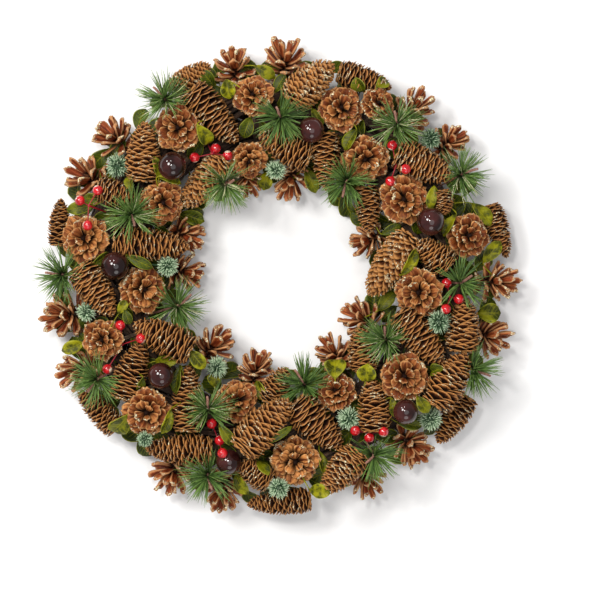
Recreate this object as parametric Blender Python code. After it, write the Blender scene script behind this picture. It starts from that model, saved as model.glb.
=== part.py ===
"""Pine cone wreath, lying on its back: a vine ring covered with pine cones, sprays, leaves and berries.

Metres. +Z comes out of the face of the wreath, +Y is its top when it hangs, and the floor is z = 0.
Each node is one closed body. The places of the pieces were read by eye from the photograph, in pixels.
"""

import math
import random

import bmesh
import bpy
from mathutils import Matrix, Vector
from mathutils.bvhtree import BVHTree

# The photograph: its scale on the wreath, and the middle of the wreath in it
PIXEL = 0.000975
MIDDLE_ACROSS = 274.0
MIDDLE_DOWN = 278.0

# The vine ring that everything is fixed to, with a flat back and a flat front
RING_RADIUS = 0.160
RING_HALF_WIDTH = 0.030
RING_HEIGHT = 0.046
RING_SIDES = 10
RING_STEPS = 18
RING_PINCH = 0.0016

# The arch across the wreath on which the middles of the cones lie, and how high those on its rims are
ARCH_FOOT = 0.030
ARCH_RISE = 0.036
ARCH_HALF_WIDTH = 0.063
RIM_HEIGHT = 0.032

SECTORS = 16
SECTOR_START = 0.0
GAP = 0.0003
CLEAR = 1.025
WIRE_RADIUS = 0.0016
WIRE_END_RADIUS = 0.0004
SEED = 7

# Open cones seen from their tips: across, down, radius in pixels
ROSETTE_CONES = (
    (179, 129, 24), (253, 96, 21), (341, 109, 23), (365, 160, 24), (404, 200, 25), (468, 236, 22),
    (418, 293, 25), (404, 376, 25), (336, 391, 20), (295, 461, 25), (148, 412, 24), (103, 340, 21),
    (144, 290, 24), (85, 239, 25), (163, 203, 23), (249, 161, 19), (237, 400, 22), (378, 104, 17),
)

# Long cones lying on their sides: across, down, heading of the tip in degrees, length, width
LONG_CONES = (
    (144, 152, 86, 58, 33), (214, 117, -48, 68, 36), (192, 77, 35, 42, 25), (205, 183, 228, 60, 34),
    (311, 83, 42, 56, 36), (365, 80, -18, 54, 27), (284, 147, 152, 56, 34), (326, 162, -88, 56, 28),
    (425, 166, -24, 60, 34), (368, 210, -85, 46, 26), (443, 203, -80, 24, 21), (433, 254, 140, 40, 29),
    (391, 265, 234, 70, 37), (463, 325, 84, 52, 33), (420, 338, -48, 66, 36), (450, 379, 60, 60, 37),
    (453, 420, 238, 54, 28), (373, 404, 93, 52, 32), (318, 425, -45, 64, 36), (265, 424, 45, 68, 37),
    (341, 471, 230, 52, 32), (279, 502, 184, 62, 26), (254, 472, 150, 36, 27), (179, 449, 178, 64, 31),
    (188, 398, 88, 64, 32), (133, 370, 70, 60, 33), (163, 337, 155, 62, 35), (97, 291, -55, 58, 34),
    (152, 245, -3, 74, 33), (60, 222, 88, 46, 23), (98, 410, 135, 52, 26), (499, 231, -72, 54, 24),
    (277, 385, 60, 40, 26), (362, 349, 100, 42, 30), (118, 195, -20, 42, 27),
)

# Open cones seen from the side along both rims: across, down, radius
RIM_CONES = (
    (114, 137, 19), (88, 177, 20), (234, 66, 18), (285, 60, 20), (414, 108, 18), (451, 141, 16),
    (499, 282, 18), (490, 337, 18), (412, 448, 18), (366, 479, 17), (223, 492, 18), (171, 475, 18),
    (78, 370, 19), (64, 316, 20), (214, 345, 18), (256, 368, 17), (186, 272, 16), (187, 236, 16),
    (291, 181, 17), (367, 241, 16), (361, 319, 18), (333, 353, 16), (248, 182, 13),
)

# Sprays of pine needles, tufts of short needles, balls, and bunches of three berries
SPRAYS = (
    (167, 103), (281, 118), (224, 181), (132, 215), (348, 180), (395, 127), (458, 176), (458, 283), (388, 341),
    (470, 368), (305, 387), (208, 410), (209, 472), (372, 452), (100, 378), (66, 275), (174, 307),
)
TUFTS = (
    (118, 166, 12), (87, 312, 10), (168, 266, 11), (276, 171, 10), (217, 367, 11), (279, 487, 11),
    (349, 418, 12), (430, 419, 12), (438, 322, 12), (430, 139, 11), (146, 438, 8),
)
BALLS = (
    (173, 167, 14), (311, 131, 13), (430, 222, 14), (116, 266, 14), (162, 375, 13), (405, 411, 12.5),
    (229, 461, 12.5),
)
BERRY_RADIUS = 0.0050
BERRIES = (
    ((216, 149), (228, 156), (195, 158)), ((99, 191), (81, 201), (89, 226)),
    ((121, 325), (142, 338), (108, 369)), ((392, 146), (405, 170), (390, 182)),
    ((446, 283), (458, 299), (445, 309)), ((355, 430), (369, 437), (383, 431)),
    ((212, 423), (220, 440), (223, 452)),
)

# Leaves: across, down, heading of the tip in degrees, length, width
LEAVES = (
    (208, 79, 130, 22, 12), (228, 90, -80, 20, 14), (265, 72, -30, 24, 12), (280, 84, 60, 20, 12),
    (205, 136, -55, 28, 14), (247, 128, 250, 22, 14), (265, 181, -100, 18, 14), (158, 168, 100, 22, 9),
    (170, 180, -15, 26, 9), (131, 184, 100, 18, 9), (91, 199, 0, 20, 10), (81, 208, 190, 28, 12),
    (192, 217, -20, 26, 14), (101, 260, 35, 26, 10), (140, 262, -25, 30, 10), (123, 307, 60, 16, 9),
    (128, 317, -70, 16, 9), (73, 347, 200, 24, 13), (166, 361, 0, 28, 10), (178, 379, -100, 30, 10),
    (142, 384, 250, 18, 8), (198, 359, -50, 24, 13), (121, 424, 225, 30, 19), (168, 421, 250, 26, 11),
    (214, 379, 90, 16, 12), (261, 391, 120, 24, 13), (335, 368, 90, 24, 20), (366, 373, 80, 20, 18),
    (227, 434, -55, 26, 11), (280, 434, 35, 30, 7), (263, 466, -50, 22, 10), (322, 462, -80, 24, 9),
    (241, 484, -60, 24, 14), (319, 490, -10, 26, 14), (422, 404, -55, 20, 12), (393, 407, -80, 20, 9),
    (409, 424, -10, 26, 10), (409, 263, 60, 30, 12), (386, 301, 50, 26, 13), (492, 252, 50, 28, 14),
    (489, 313, 0, 24, 18), (436, 370, 200, 18, 11), (431, 198, -100, 24, 10), (482, 214, -50, 30, 15),
    (449, 225, 240, 26, 10), (391, 230, 25, 22, 9), (359, 86, 120, 18, 14), (382, 84, 30, 16, 12),
    (317, 118, -60, 22, 9), (350, 140, 240, 24, 13), (311, 180, -70, 28, 12),
)
LEAF_THICKNESS = 0.0008
LEAF_STEM_RADIUS = 0.0010
LEAF_DROP = 0.006
BERRY_WIRE_RADIUS = 0.0008
SPRAY_SIDES = 5
SPRAY_ROWS = 5
SPRAY_CORE = 0.009
SPRAY_CORE_RADIUS = 0.0017
NEEDLE_LENGTH = 0.029
NEEDLE_ROOM = 0.0012

rng = random.Random(SEED)


# The empty scene, with a collection for the wreath and one for the pieces that are joined
for old in list(bpy.data.objects):
    bpy.data.objects.remove(old, do_unlink=True)
wreath = bpy.data.collections.new("pine_cone_wreath")
bpy.context.scene.collection.children.link(wreath)
joining = bpy.data.collections.new("pieces_to_join")
bpy.context.scene.collection.children.link(joining)


def plain_material(name, colour, roughness, metallic=0.0):
    material = bpy.data.materials.new(name)
    material.use_nodes = True
    shader = material.node_tree.nodes["Principled BSDF"]
    shader.inputs["Base Color"].default_value = (*colour, 1.0)
    shader.inputs["Roughness"].default_value = roughness
    shader.inputs["Metallic"].default_value = metallic
    return material


def on_wreath(across, down):
    return Vector(((across - MIDDLE_ACROSS) * PIXEL, (MIDDLE_DOWN - down) * PIXEL, 0.0))


def arch_height(place):
    """Height of the middle of a cone whose middle is over this place."""
    off = (math.hypot(place.x, place.y) - RING_RADIUS) / ARCH_HALF_WIDTH
    return ARCH_FOOT + ARCH_RISE * math.sqrt(max(0.0, 1.0 - off * off))


def arch_lean(place, most):
    """Turn that leans +Z away from the middle line of the ring by up to this angle."""
    off = (math.hypot(place.x, place.y) - RING_RADIUS) / ARCH_HALF_WIDTH
    angle = most * max(-1.0, min(1.0, off))
    around = math.atan2(place.y, place.x)
    return Matrix.Rotation(angle, 3, Vector((-math.sin(around), math.cos(around), 0.0)))


def sector_of(place):
    around = math.degrees(math.atan2(place.y, place.x)) - SECTOR_START
    return int((around % 360.0) / (360.0 / SECTORS))


def turned(mesh, turn, middle):
    bmesh.ops.transform(mesh, matrix=Matrix.Translation(middle) @ turn.to_4x4(), verts=mesh.verts)
    return mesh


def reshaped_ball(sides, rings, rule):
    """A ball of rings and sides, each vertex moved to rule(ring, side) = radius, turn and height."""
    mesh = bmesh.new()
    bmesh.ops.create_uvsphere(mesh, u_segments=sides, v_segments=rings, radius=1.0)
    for vertex in mesh.verts:
        ring = round(math.acos(max(-1.0, min(1.0, -vertex.co.z))) / math.pi * rings)
        side = round(math.atan2(vertex.co.y, vertex.co.x) / math.tau * sides) % sides
        radius, turn, height = rule(ring, side)
        angle = math.tau * side / sides + turn
        vertex.co = Vector((radius * math.cos(angle), radius * math.sin(angle), height))
    return mesh


def long_cone(length, width, rows, sides=6):
    """Rows of scales whose lips stand out from the body, each row half a scale round from the last."""
    rings = 2 * rows + 1

    def outline(along):
        return 0.54 * width * (math.sin(math.pi * (0.16 + 0.76 * along) ** 0.72)) ** 0.6

    def rule(ring, side):
        if ring == 0:
            return 0.0, 0.0, -0.5 * length
        if ring == rings:
            return 0.0, 0.0, 0.5 * length
        row = (ring - 1) // 2
        lip = (ring - 1) % 2
        along = (row + (1.0 if lip else 0.1)) / (rows + 0.15)
        radius = outline(along) - (0.0 if lip else 0.17 * width)
        return radius, math.pi / sides * (row % 2), (along - 0.5) * length

    mesh = reshaped_ball(sides, rings, rule)
    bmesh.ops.triangulate(mesh, faces=mesh.faces, quad_method="SHORT_EDGE")
    return mesh


def rosette_cone(radius, petals=6):
    """Three tiers of rounded scales round a bud, on a bowl."""
    tiers = (
        (0.0, 0.0, -0.62), (1.0, 0.15, -0.02), (0.60, 0.0, -0.02), (0.77, 0.15, 0.22), (0.40, 0.0, 0.17),
        (0.50, 0.18, 0.40), (0.20, 0.0, 0.30), (0.0, 0.0, 0.46),
    )

    def rule(ring, side):
        reach, notch, height = tiers[ring]
        in_notch = (side + ring // 2) % 2
        return radius * reach * (1.0 - notch * in_notch), 0.0, radius * (height - 0.35 * notch * in_notch)

    mesh = reshaped_ball(2 * petals, len(tiers) - 1, rule)
    bmesh.ops.triangulate(mesh, faces=mesh.faces, quad_method="SHORT_EDGE")
    return mesh


def rim_cone(radius, fingers=6):
    """Two tiers of narrow scales that stand apart like fingers."""
    tiers = ((0.0, 0.0, -1.05), (1.08, 0.40, 0.22), (0.36, 0.0, 0.02), (0.70, 0.46, 0.72), (0.0, 0.0, 0.36))

    def rule(ring, side):
        reach, notch, height = tiers[ring]
        in_notch = (side + ring // 2) % 2 if notch else 0
        return radius * reach * (1.0 - notch * in_notch), 0.0, radius * (height - 0.7 * notch * in_notch)

    mesh = reshaped_ball(2 * fingers, len(tiers) - 1, rule)
    bmesh.ops.triangulate(mesh, faces=mesh.faces, quad_method="SHORT_EDGE")
    return mesh


def wire(start, end, radius=WIRE_RADIUS, end_radius=None, sides=3):
    """A straight piece of wire between two points."""
    run = end - start
    mesh = bmesh.new()
    bmesh.ops.create_cone(
        mesh, cap_ends=True, segments=sides, radius1=radius, depth=run.length,
        radius2=radius if end_radius is None else end_radius,
    )
    turn = run.to_track_quat("Z", "Y").to_matrix()
    return turned(mesh, turn, (start + end) / 2)


def grown(mesh, share):
    """A copy grown about its middle, to test for room."""
    copy = mesh.copy()
    middle = sum((v.co for v in copy.verts), Vector()) / len(copy.verts)
    bmesh.ops.scale(copy, vec=(share, share, share), space=Matrix.Translation(-middle), verts=copy.verts)
    return copy


def tree_of(mesh):
    return BVHTree.FromBMesh(mesh)


def object_of(name, mesh, collection, material=None):
    data = bpy.data.meshes.new(name)
    mesh.to_mesh(data)
    made = bpy.data.objects.new(name, data)
    if material:
        data.materials.append(material)
    collection.objects.link(made)
    return made


def whole_body(made):
    """Leaves the largest closed shell, so that no scrap or sealed hollow stays after a join."""
    mesh = bmesh.new()
    mesh.from_mesh(made.data)
    left = set(mesh.verts)
    shells = []
    while left:
        shell = [left.pop()]
        for vertex in shell:
            for edge in vertex.link_edges:
                other = edge.other_vert(vertex)
                if other in left:
                    left.discard(other)
                    shell.append(other)
        shells.append(shell)
    shells.sort(key=len)
    for shell in shells[:-1]:
        bmesh.ops.delete(mesh, geom=shell, context="VERTS")
    mesh.to_mesh(made.data)
    mesh.free()


def joined(name, meshes, material, solver="MANIFOLD"):
    """One object from pieces that run into each other, by one Boolean union on a collection."""
    first = object_of(name, meshes[0], wreath, material)
    if len(meshes) > 1:
        for number, mesh in enumerate(meshes[1:]):
            object_of(f"{name}_piece_{number}", mesh, joining)
        union = first.modifiers.new("union", "BOOLEAN")
        union.operation = "UNION"
        union.operand_type = "COLLECTION"
        union.collection = joining
        union.solver = solver
        bpy.context.view_layer.objects.active = first
        bpy.ops.object.modifier_apply(modifier="union")
        for piece in list(joining.objects):
            bpy.data.objects.remove(piece, do_unlink=True)
    whole_body(first)
    return first


# The vine ring: a bundle pinched where it is bound, flat at the back and the front
ring_mesh = bmesh.new()
ring_loops = []
for step in range(RING_STEPS):
    around = math.tau * step / RING_STEPS
    pinch = RING_PINCH if step % 2 else 0.0
    loop = []
    for side in range(RING_SIDES):
        angle = math.tau * (side + 0.5) / RING_SIDES + math.pi / 2
        out = (RING_HALF_WIDTH - pinch) * math.cos(angle)
        up = RING_HEIGHT / 2 * math.sin(angle) / math.cos(math.pi / RING_SIDES)
        reach = RING_RADIUS + out
        corner = (reach * math.cos(around), reach * math.sin(around), RING_HEIGHT / 2 + up)
        loop.append(ring_mesh.verts.new(corner))
    ring_loops.append(loop)
for step in range(RING_STEPS):
    loop, after = ring_loops[step], ring_loops[(step + 1) % RING_STEPS]
    for side in range(RING_SIDES):
        beside = (side + 1) % RING_SIDES
        ring_mesh.faces.new((loop[side], after[side], after[beside], loop[beside]))
bmesh.ops.recalc_face_normals(ring_mesh, faces=ring_mesh.faces)
bmesh.ops.triangulate(ring_mesh, faces=ring_mesh.faces)
object_of("vine_ring", ring_mesh, wreath, plain_material("vine", (0.16, 0.085, 0.04), 0.85))
ring_tree = tree_of(ring_mesh)

# The cones, each lifted from the arch until it is clear of those before it
cones = []


def add_cone(mesh, turn, place, reach, height):
    base = Vector((place.x, place.y, height))
    turned(mesh, turn, base)
    low = min(v.co.z for v in mesh.verts)
    lift = max(0.0, 0.0015 - low)
    bmesh.ops.translate(mesh, vec=(0, 0, lift), verts=mesh.verts)
    while True:
        test = tree_of(grown(mesh, CLEAR))
        if not test.overlap(ring_tree) and not any(test.overlap(cone["tree"]) for cone in cones):
            break
        bmesh.ops.translate(mesh, vec=(0, 0, 0.001), verts=mesh.verts)
        lift += 0.001
    axis = turn @ Vector((0, 0, 1))
    cones.append({
        "mesh": mesh, "tree": tree_of(mesh), "sector": sector_of(place),
        "middle": base + Vector((0, 0, lift)), "axis": axis * reach,
    })


for across, down, radius in RIM_CONES:
    place = on_wreath(across, down)
    add_cone(rim_cone(radius * PIXEL), arch_lean(place, math.radians(72)), place, 0.0, RIM_HEIGHT)
for across, down, heading, length, width in LONG_CONES:
    place = on_wreath(across, down)
    run = Vector((math.cos(math.radians(heading)), math.sin(math.radians(heading)), 0.0))
    turn = run.to_track_quat("Z", "Y").to_matrix()
    cone = long_cone(length * PIXEL, width * PIXEL, 6 if length > 50 else 5)
    add_cone(cone, turn, place, 0.28 * length * PIXEL, arch_height(place))
for across, down, radius in ROSETTE_CONES:
    place = on_wreath(across, down)
    turn = arch_lean(place, math.radians(30))
    add_cone(rosette_cone(radius * PIXEL), turn, place, 0.0, arch_height(place))


def clear_of(mesh, trees):
    test = tree_of(mesh)
    return not any(test.overlap(tree) for tree in trees)


cone_brown = plain_material("cone_brown", (0.30, 0.14, 0.055), 0.75)
cone_trees = [cone["tree"] for cone in cones]
settled = [ring_tree] + cone_trees


def surface_height(place):
    """Height of the highest piece under a place, or 0 where there is none."""
    height = 0.0
    for tree in settled:
        hit = tree.ray_cast(Vector((place.x, place.y, 0.3)), Vector((0, 0, -1)))
        if hit[0] is not None and hit[0].z > height:
            height = hit[0].z
    return height


def let_down(mesh, start, lowest=0.0):
    """Lowers a piece from this height of its origin until it all but touches the pieces below it."""
    bmesh.ops.translate(mesh, vec=(0, 0, start), verts=mesh.verts)
    height = start
    for step in (0.004, 0.001, 0.0002):
        while height > lowest and clear_of(mesh, settled):
            bmesh.ops.translate(mesh, vec=(0, 0, -step), verts=mesh.verts)
            height -= step
        bmesh.ops.translate(mesh, vec=(0, 0, step), verts=mesh.verts)
        height += step
    bmesh.ops.translate(mesh, vec=(0, 0, 0.5 * GAP), verts=mesh.verts)
    settled.append(tree_of(mesh))
    return height + 0.5 * GAP


def feet_under(start):
    """Points just short of the first piece on the way to the middle of the ring, then on ways beside it."""
    inward = Vector((start.x, start.y, 0.0)).normalized()
    straight = (inward * RING_RADIUS + Vector((0, 0, RING_HEIGHT / 2)) - start).normalized()
    for swing in range(0, 60, 8):
        for turn in range(0, 360 if swing else 1, 40):
            way = Matrix.Rotation(math.radians(swing), 3, straight.orthogonal()) @ straight
            way = Matrix.Rotation(math.radians(turn), 3, straight) @ way
            hits = [tree.ray_cast(start, way) for tree in settled]
            reaches = [hit[3] for hit in hits if hit[0] is not None]
            if reaches:
                yield start + way * (min(reaches) - 1.5 * GAP)


def stood(mesh, pole):
    """Draws the lowest point of a piece out to a foot that leaves the piece clear of the others."""
    start = pole.co.copy()
    for foot in feet_under(start):
        pole.co = foot
        if clear_of(mesh, settled):
            return True
    return False


def nearest_on(cone, target):
    """The point on the line through the middle of a cone that is nearest to a target."""
    axis = cone["axis"]
    if axis.length == 0.0:
        return cone["middle"]
    share = (target - cone["middle"]).dot(axis) / axis.length_squared
    return cone["middle"] + axis * max(-1.0, min(1.0, share))


# Within each sector of the ring, wires through the middles of its cones hold them in one body
pieces_of = {sector: [] for sector in range(SECTORS)}
wires = {sector: [] for sector in range(SECTORS)}
for sector in range(SECTORS):
    group = [cone for cone in cones if cone["sector"] == sector]
    others = [cone["tree"] for cone in cones if cone["sector"] != sector]
    for away, made in wires.items():
        if away != sector:
            others += made
    links = []
    for first in range(len(group)):
        for second in range(first + 1, len(group)):
            end = nearest_on(group[second], group[first]["middle"])
            start = nearest_on(group[first], end)
            links.append(((end - start).length, first, second, start, end))
    links.sort(key=lambda link: link[0])
    body = list(range(len(group)))
    pieces = [cone["mesh"] for cone in group]
    for length, first, second, start, end in links:
        if body[first] == body[second]:
            continue
        if not clear_of(wire(start, end, WIRE_RADIUS + 0.0006), others + [ring_tree]):
            continue
        pieces.append(wire(start, end))
        wires[sector].append(tree_of(pieces[-1]))
        body = [body[first] if mark == body[second] else mark for mark in body]
    if len(set(body)) > 1:
        raise ValueError(f"the cones of sector {sector + 1} are in {len(set(body))} bodies")

    # A wire end reaches the flat front of the ring and stops just short of it
    best = None
    for cone in group:
        start = cone["middle"]
        inward = Vector((start.x, start.y, 0.0)).normalized()
        foot = inward * RING_RADIUS + Vector((0, 0, RING_HEIGHT + 2 * GAP))
        length = (foot - start).length
        if start.z < RING_HEIGHT + 0.008 or (best is not None and length > best[0]):
            continue
        end = wire(start, foot, WIRE_RADIUS, WIRE_END_RADIUS)
        if clear_of(end, others):
            best = (length, end)
    pieces.append(best[1])
    wires[sector].append(tree_of(best[1]))
    pieces_of[sector] = pieces
for made in wires.values():
    settled += made


# The leaves: folded blades let down between the cones, each with a stem to the middle of a cone
def leaf_blade(length, width):
    mesh = bmesh.new()
    bmesh.ops.create_circle(mesh, cap_ends=True, segments=6, radius=0.5)
    bmesh.ops.connect_verts(mesh, verts=[v for v in mesh.verts if abs(v.co.x) < 0.01])
    for vertex in mesh.verts:
        across, along = vertex.co.x, vertex.co.y
        fold = 0.16 * width if abs(across) > 0.1 else 0.0
        wide = 1.12 if along > 0.1 else 0.9
        vertex.co = Vector((along * length, across * width * wide, fold - 0.30 * length * along * along))
    bmesh.ops.triangulate(mesh, faces=mesh.faces)
    bmesh.ops.solidify(mesh, geom=list(mesh.faces), thickness=LEAF_THICKNESS)
    bmesh.ops.recalc_face_normals(mesh, faces=mesh.faces)
    bmesh.ops.triangulate(mesh, faces=mesh.faces)
    return mesh


for across, down, heading, length, width in LEAVES:
    place = on_wreath(across, down)
    length, width = length * PIXEL, width * PIXEL
    heading = math.radians(heading)
    ahead = Vector((math.cos(heading), math.sin(heading), 0.0))
    beside = Vector((-ahead.y, ahead.x, 0.0))
    lowest = arch_height(place) - LEAF_DROP
    ends = [max(lowest, surface_height(place + ahead * length * share)) for share in (0.4, -0.4)]
    flanks = [max(lowest, surface_height(place + beside * width * share)) for share in (0.4, -0.4)]
    pitch = max(-0.6, min(0.6, math.atan2(ends[0] - ends[1], 0.8 * length)))
    roll = max(-0.5, min(0.5, math.atan2(flanks[0] - flanks[1], 0.8 * width)))
    turn = Matrix.Rotation(heading, 3, "Z") @ Matrix.Rotation(-pitch, 3, "Y") @ Matrix.Rotation(roll, 3, "X")
    mesh = turned(leaf_blade(length, width), turn, place)
    height = let_down(mesh, 0.14, lowest)
    blade_tree = settled[-1]
    root = place + Vector((0, 0, height)) - turn @ Vector((0.32 * length, 0.0, 0.075 * length))
    best = None
    for cone in cones:
        end = nearest_on(cone, root)
        reach = (end - root).length
        if reach > 0.06 or (best is not None and reach > best[0]):
            continue
        stem = wire(root + (root - end).normalized() * 0.0015, end, LEAF_STEM_RADIUS)
        others = [one["tree"] for one in cones if one["sector"] != cone["sector"]] + [ring_tree]
        for away, made in wires.items():
            if away != cone["sector"]:
                others += made
        if clear_of(grown(stem, 1.05), others):
            best = (reach, cone["sector"], stem)
    if best is None:
        raise ValueError(f"the leaf at {across}, {down} has no clear way for its stem")
    reach, sector, stem = best
    pieces_of[sector] += [mesh, stem]
    stem_tree = tree_of(stem)
    wires[sector] += [blade_tree, stem_tree]
    settled.append(stem_tree)

for sector, pieces in pieces_of.items():
    joined(f"cones_{sector + 1:02d}", pieces, cone_brown)


# The balls, a smooth sphere each
ball_plum = plain_material("ball_plum", (0.035, 0.012, 0.010), 0.15)
for number, (across, down, radius) in enumerate(BALLS):
    place = on_wreath(across, down)
    mesh = bmesh.new()
    bmesh.ops.create_icosphere(mesh, subdivisions=2, radius=radius * PIXEL)
    bmesh.ops.translate(mesh, vec=place, verts=mesh.verts)
    let_down(mesh, 0.16, arch_height(place))
    object_of(f"ball_{number + 1}", mesh, wreath, ball_plum)

# The tufts: balls of short needles, a needle on each face
tuft_sage = plain_material("tuft_sage", (0.17, 0.33, 0.22), 0.8)
for number, (across, down, radius) in enumerate(TUFTS):
    place = on_wreath(across, down)
    radius *= PIXEL
    mesh = bmesh.new()
    bmesh.ops.create_icosphere(mesh, subdivisions=1, radius=0.52 * radius)
    for vertex in bmesh.ops.poke(mesh, faces=mesh.faces)["verts"]:
        vertex.co = vertex.co.normalized() * radius * rng.uniform(0.94, 1.06)
    lean = arch_lean(place, math.radians(40))
    turned(mesh, lean @ Matrix.Rotation(rng.uniform(0, math.tau), 3, "Z"), place)
    height = let_down(mesh, 0.16, arch_height(place) - 0.002)
    settled.pop()
    middle = place + Vector((0, 0, height))
    pole = min(mesh.verts, key=lambda v: (v.co - middle).dot(lean @ Vector((0, 0, 1))))
    if not stood(mesh, pole):
        raise ValueError(f"tuft {number + 1} has no clear way for its stem")
    settled.append(tree_of(mesh))
    object_of(f"tuft_{number + 1:02d}", mesh, wreath, tuft_sage)

# The berries: bunches of three, held by wires that meet low in the middle of the bunch
berry_red = plain_material("berry_red", (0.55, 0.012, 0.02), 0.2)
for number, bunch in enumerate(BERRIES):
    pieces = []
    middles = []
    for across, down in bunch:
        place = on_wreath(across, down)
        mesh = bmesh.new()
        bmesh.ops.create_icosphere(mesh, subdivisions=1, radius=BERRY_RADIUS)
        bmesh.ops.translate(mesh, vec=place, verts=mesh.verts)
        height = let_down(mesh, 0.16, arch_height(place))
        pieces.append(mesh)
        middles.append(place + Vector((0, 0, height)))
    del settled[-3:]
    knot = sum(middles, Vector()) / 3
    knot.z = max(surface_height(knot) + 0.003, min(m.z for m in middles))
    while True:
        ends = [knot + (knot - middle).normalized() * 0.0008 for middle in middles]
        arms = [wire(middle, end, BERRY_WIRE_RADIUS) for middle, end in zip(middles, ends)]
        if all(clear_of(grown(arm, 1.04), settled) for arm in arms):
            break
        knot.z += 0.001
    for foot in feet_under(knot):
        stem = wire(knot + (knot - foot).normalized() * 0.0008, foot, BERRY_WIRE_RADIUS, WIRE_END_RADIUS)
        if clear_of(stem, settled):
            break
    else:
        raise ValueError(f"berries {number + 1} have no clear way for their stem")
    pieces += arms + [stem]
    joined(f"berries_{number + 1}", pieces, berry_red)
    settled += [tree_of(piece) for piece in pieces]

# The sprays: a slim core with a needle on each face of it, bent clear of what lies under them
spray_green = plain_material("spray_green", (0.09, 0.22, 0.07), 0.7)


def room_along(start, end):
    for share in (0.3, 0.45, 0.6, 0.75, 0.9, 1.0):
        point = start.lerp(end, share)
        for tree in settled:
            if tree.find_nearest(point, NEEDLE_ROOM)[0] is not None:
                return False
    return True


def spray_on(origin, turn):
    """A spray whose stem stands on what is under it and whose needles rise as far as they have to."""
    def rule(ring, side):
        if ring == 0:
            return 0.0, 0.0, -0.004
        if ring == SPRAY_ROWS + 2:
            return 0.0, 0.0, SPRAY_CORE + 0.007
        return SPRAY_CORE_RADIUS, ring * 0.35, SPRAY_CORE * (ring - 1) / SPRAY_ROWS

    def row_and_side(face):
        middle = face.calc_center_median()
        row = round(middle.z / SPRAY_CORE * SPRAY_ROWS - 0.5)
        return row, round(math.atan2(middle.y, middle.x), 2)

    mesh = reshaped_ball(SPRAY_SIDES, SPRAY_ROWS + 2, rule)
    pole = min(mesh.verts, key=lambda v: v.co.z)
    # Blender gives a new sphere's faces in no fixed order, so they are sorted for the random draws
    faces = sorted((face for face in mesh.faces if len(face.verts) == 4), key=row_and_side)
    rows = [row_and_side(face)[0] for face in faces]
    turned(mesh, turn, origin)
    up = turn @ Vector((0, 0, 1))
    middles = [face.calc_center_median() for face in faces]
    tips = bmesh.ops.poke(mesh, faces=faces)["verts"]
    for row, middle in zip(rows, middles):
        vertex = min(tips, key=lambda one: (one.co - middle).length)
        out = middle - origin - up * (middle - origin).dot(up)
        out = Matrix.Rotation(rng.uniform(-0.12, 0.12), 3, up) @ out.normalized()
        rise = math.radians(-2 + 12 * row + 1.2 * row * row + rng.uniform(-4, 4))
        length = NEEDLE_LENGTH * rng.uniform(0.88, 1.12)
        while True:
            tip = middle + (out * math.cos(rise) + up * math.sin(rise)) * length
            if rise > math.radians(84) or room_along(middle, tip):
                break
            rise += math.radians(4)
        vertex.co = tip
    bmesh.ops.triangulate(mesh, faces=mesh.faces)
    return mesh, pole


for number, (across, down) in enumerate(SPRAYS):
    place = on_wreath(across, down)
    turn = arch_lean(place, math.radians(48))
    origin = place + Vector((0, 0, arch_height(place)))
    while True:
        mesh, pole = spray_on(origin, turn)
        if clear_of(mesh, settled) and stood(mesh, pole):
            break
        origin.z += 0.001
    settled.append(tree_of(mesh))
    object_of(f"spray_{number + 1:02d}", mesh, wreath, spray_green)

bpy.data.collections.remove(joining)
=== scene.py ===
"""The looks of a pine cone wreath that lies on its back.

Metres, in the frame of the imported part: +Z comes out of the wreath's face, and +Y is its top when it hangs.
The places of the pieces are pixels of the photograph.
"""

import math

import bpy
import numpy as np
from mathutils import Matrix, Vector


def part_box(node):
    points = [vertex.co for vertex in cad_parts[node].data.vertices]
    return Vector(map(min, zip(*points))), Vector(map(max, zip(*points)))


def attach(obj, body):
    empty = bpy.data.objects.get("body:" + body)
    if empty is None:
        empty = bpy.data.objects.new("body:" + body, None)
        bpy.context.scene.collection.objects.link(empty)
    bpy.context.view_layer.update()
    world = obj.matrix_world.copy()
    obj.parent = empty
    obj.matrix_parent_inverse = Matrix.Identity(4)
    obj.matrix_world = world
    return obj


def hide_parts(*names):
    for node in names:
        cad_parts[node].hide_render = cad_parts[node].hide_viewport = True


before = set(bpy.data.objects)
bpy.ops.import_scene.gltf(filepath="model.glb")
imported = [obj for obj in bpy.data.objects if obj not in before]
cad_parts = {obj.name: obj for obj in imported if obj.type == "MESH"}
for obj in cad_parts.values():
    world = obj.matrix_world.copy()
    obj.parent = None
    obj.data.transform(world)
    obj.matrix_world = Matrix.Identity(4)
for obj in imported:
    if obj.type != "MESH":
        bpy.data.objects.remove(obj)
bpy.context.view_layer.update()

# The vine ring
# A bundle of brown vines as thick as a wrist, wound slowly round itself into a ring and bound with wire.
# Its back is pressed flat, so that the wreath hangs flat on a door. All else is wired or glued to it.
RING_RADIUS = 0.160
RING_HALF_WIDTH = 0.030
RING_HEIGHT = 0.046
RING_SQUARENESS = (0.8, 0.72)
RING_STEPS = 116
VINE_HALF = (0.0012, 0.0029)
VINE_TURNS = 2
BINDINGS = 18
BINDING_TURNS = 3
BINDING_STEPS = 61
BINDING_HALF = 0.0007
BINDING_SPREAD = 0.012
BINDING_SHARE = 0.985
BINDING_LOWEST = 0.0008
BARK = (0.060, 0.027, 0.012)
BARK_DARK = (0.012, 0.006, 0.003)
BARK_PALE = (0.17, 0.095, 0.045)
WIRE_DARK = (0.05, 0.03, 0.02)
WIRE_BROWN = (0.16, 0.11, 0.07)
MARKS = ("along", "across", "tone")
# where a wave may start, in radians
ANY_START = (0, 6.3)
# vines in a layer, and how far out in the ring's section they lie
VINE_LAYERS = ((40, 0.88), (14, 0.62))


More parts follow.
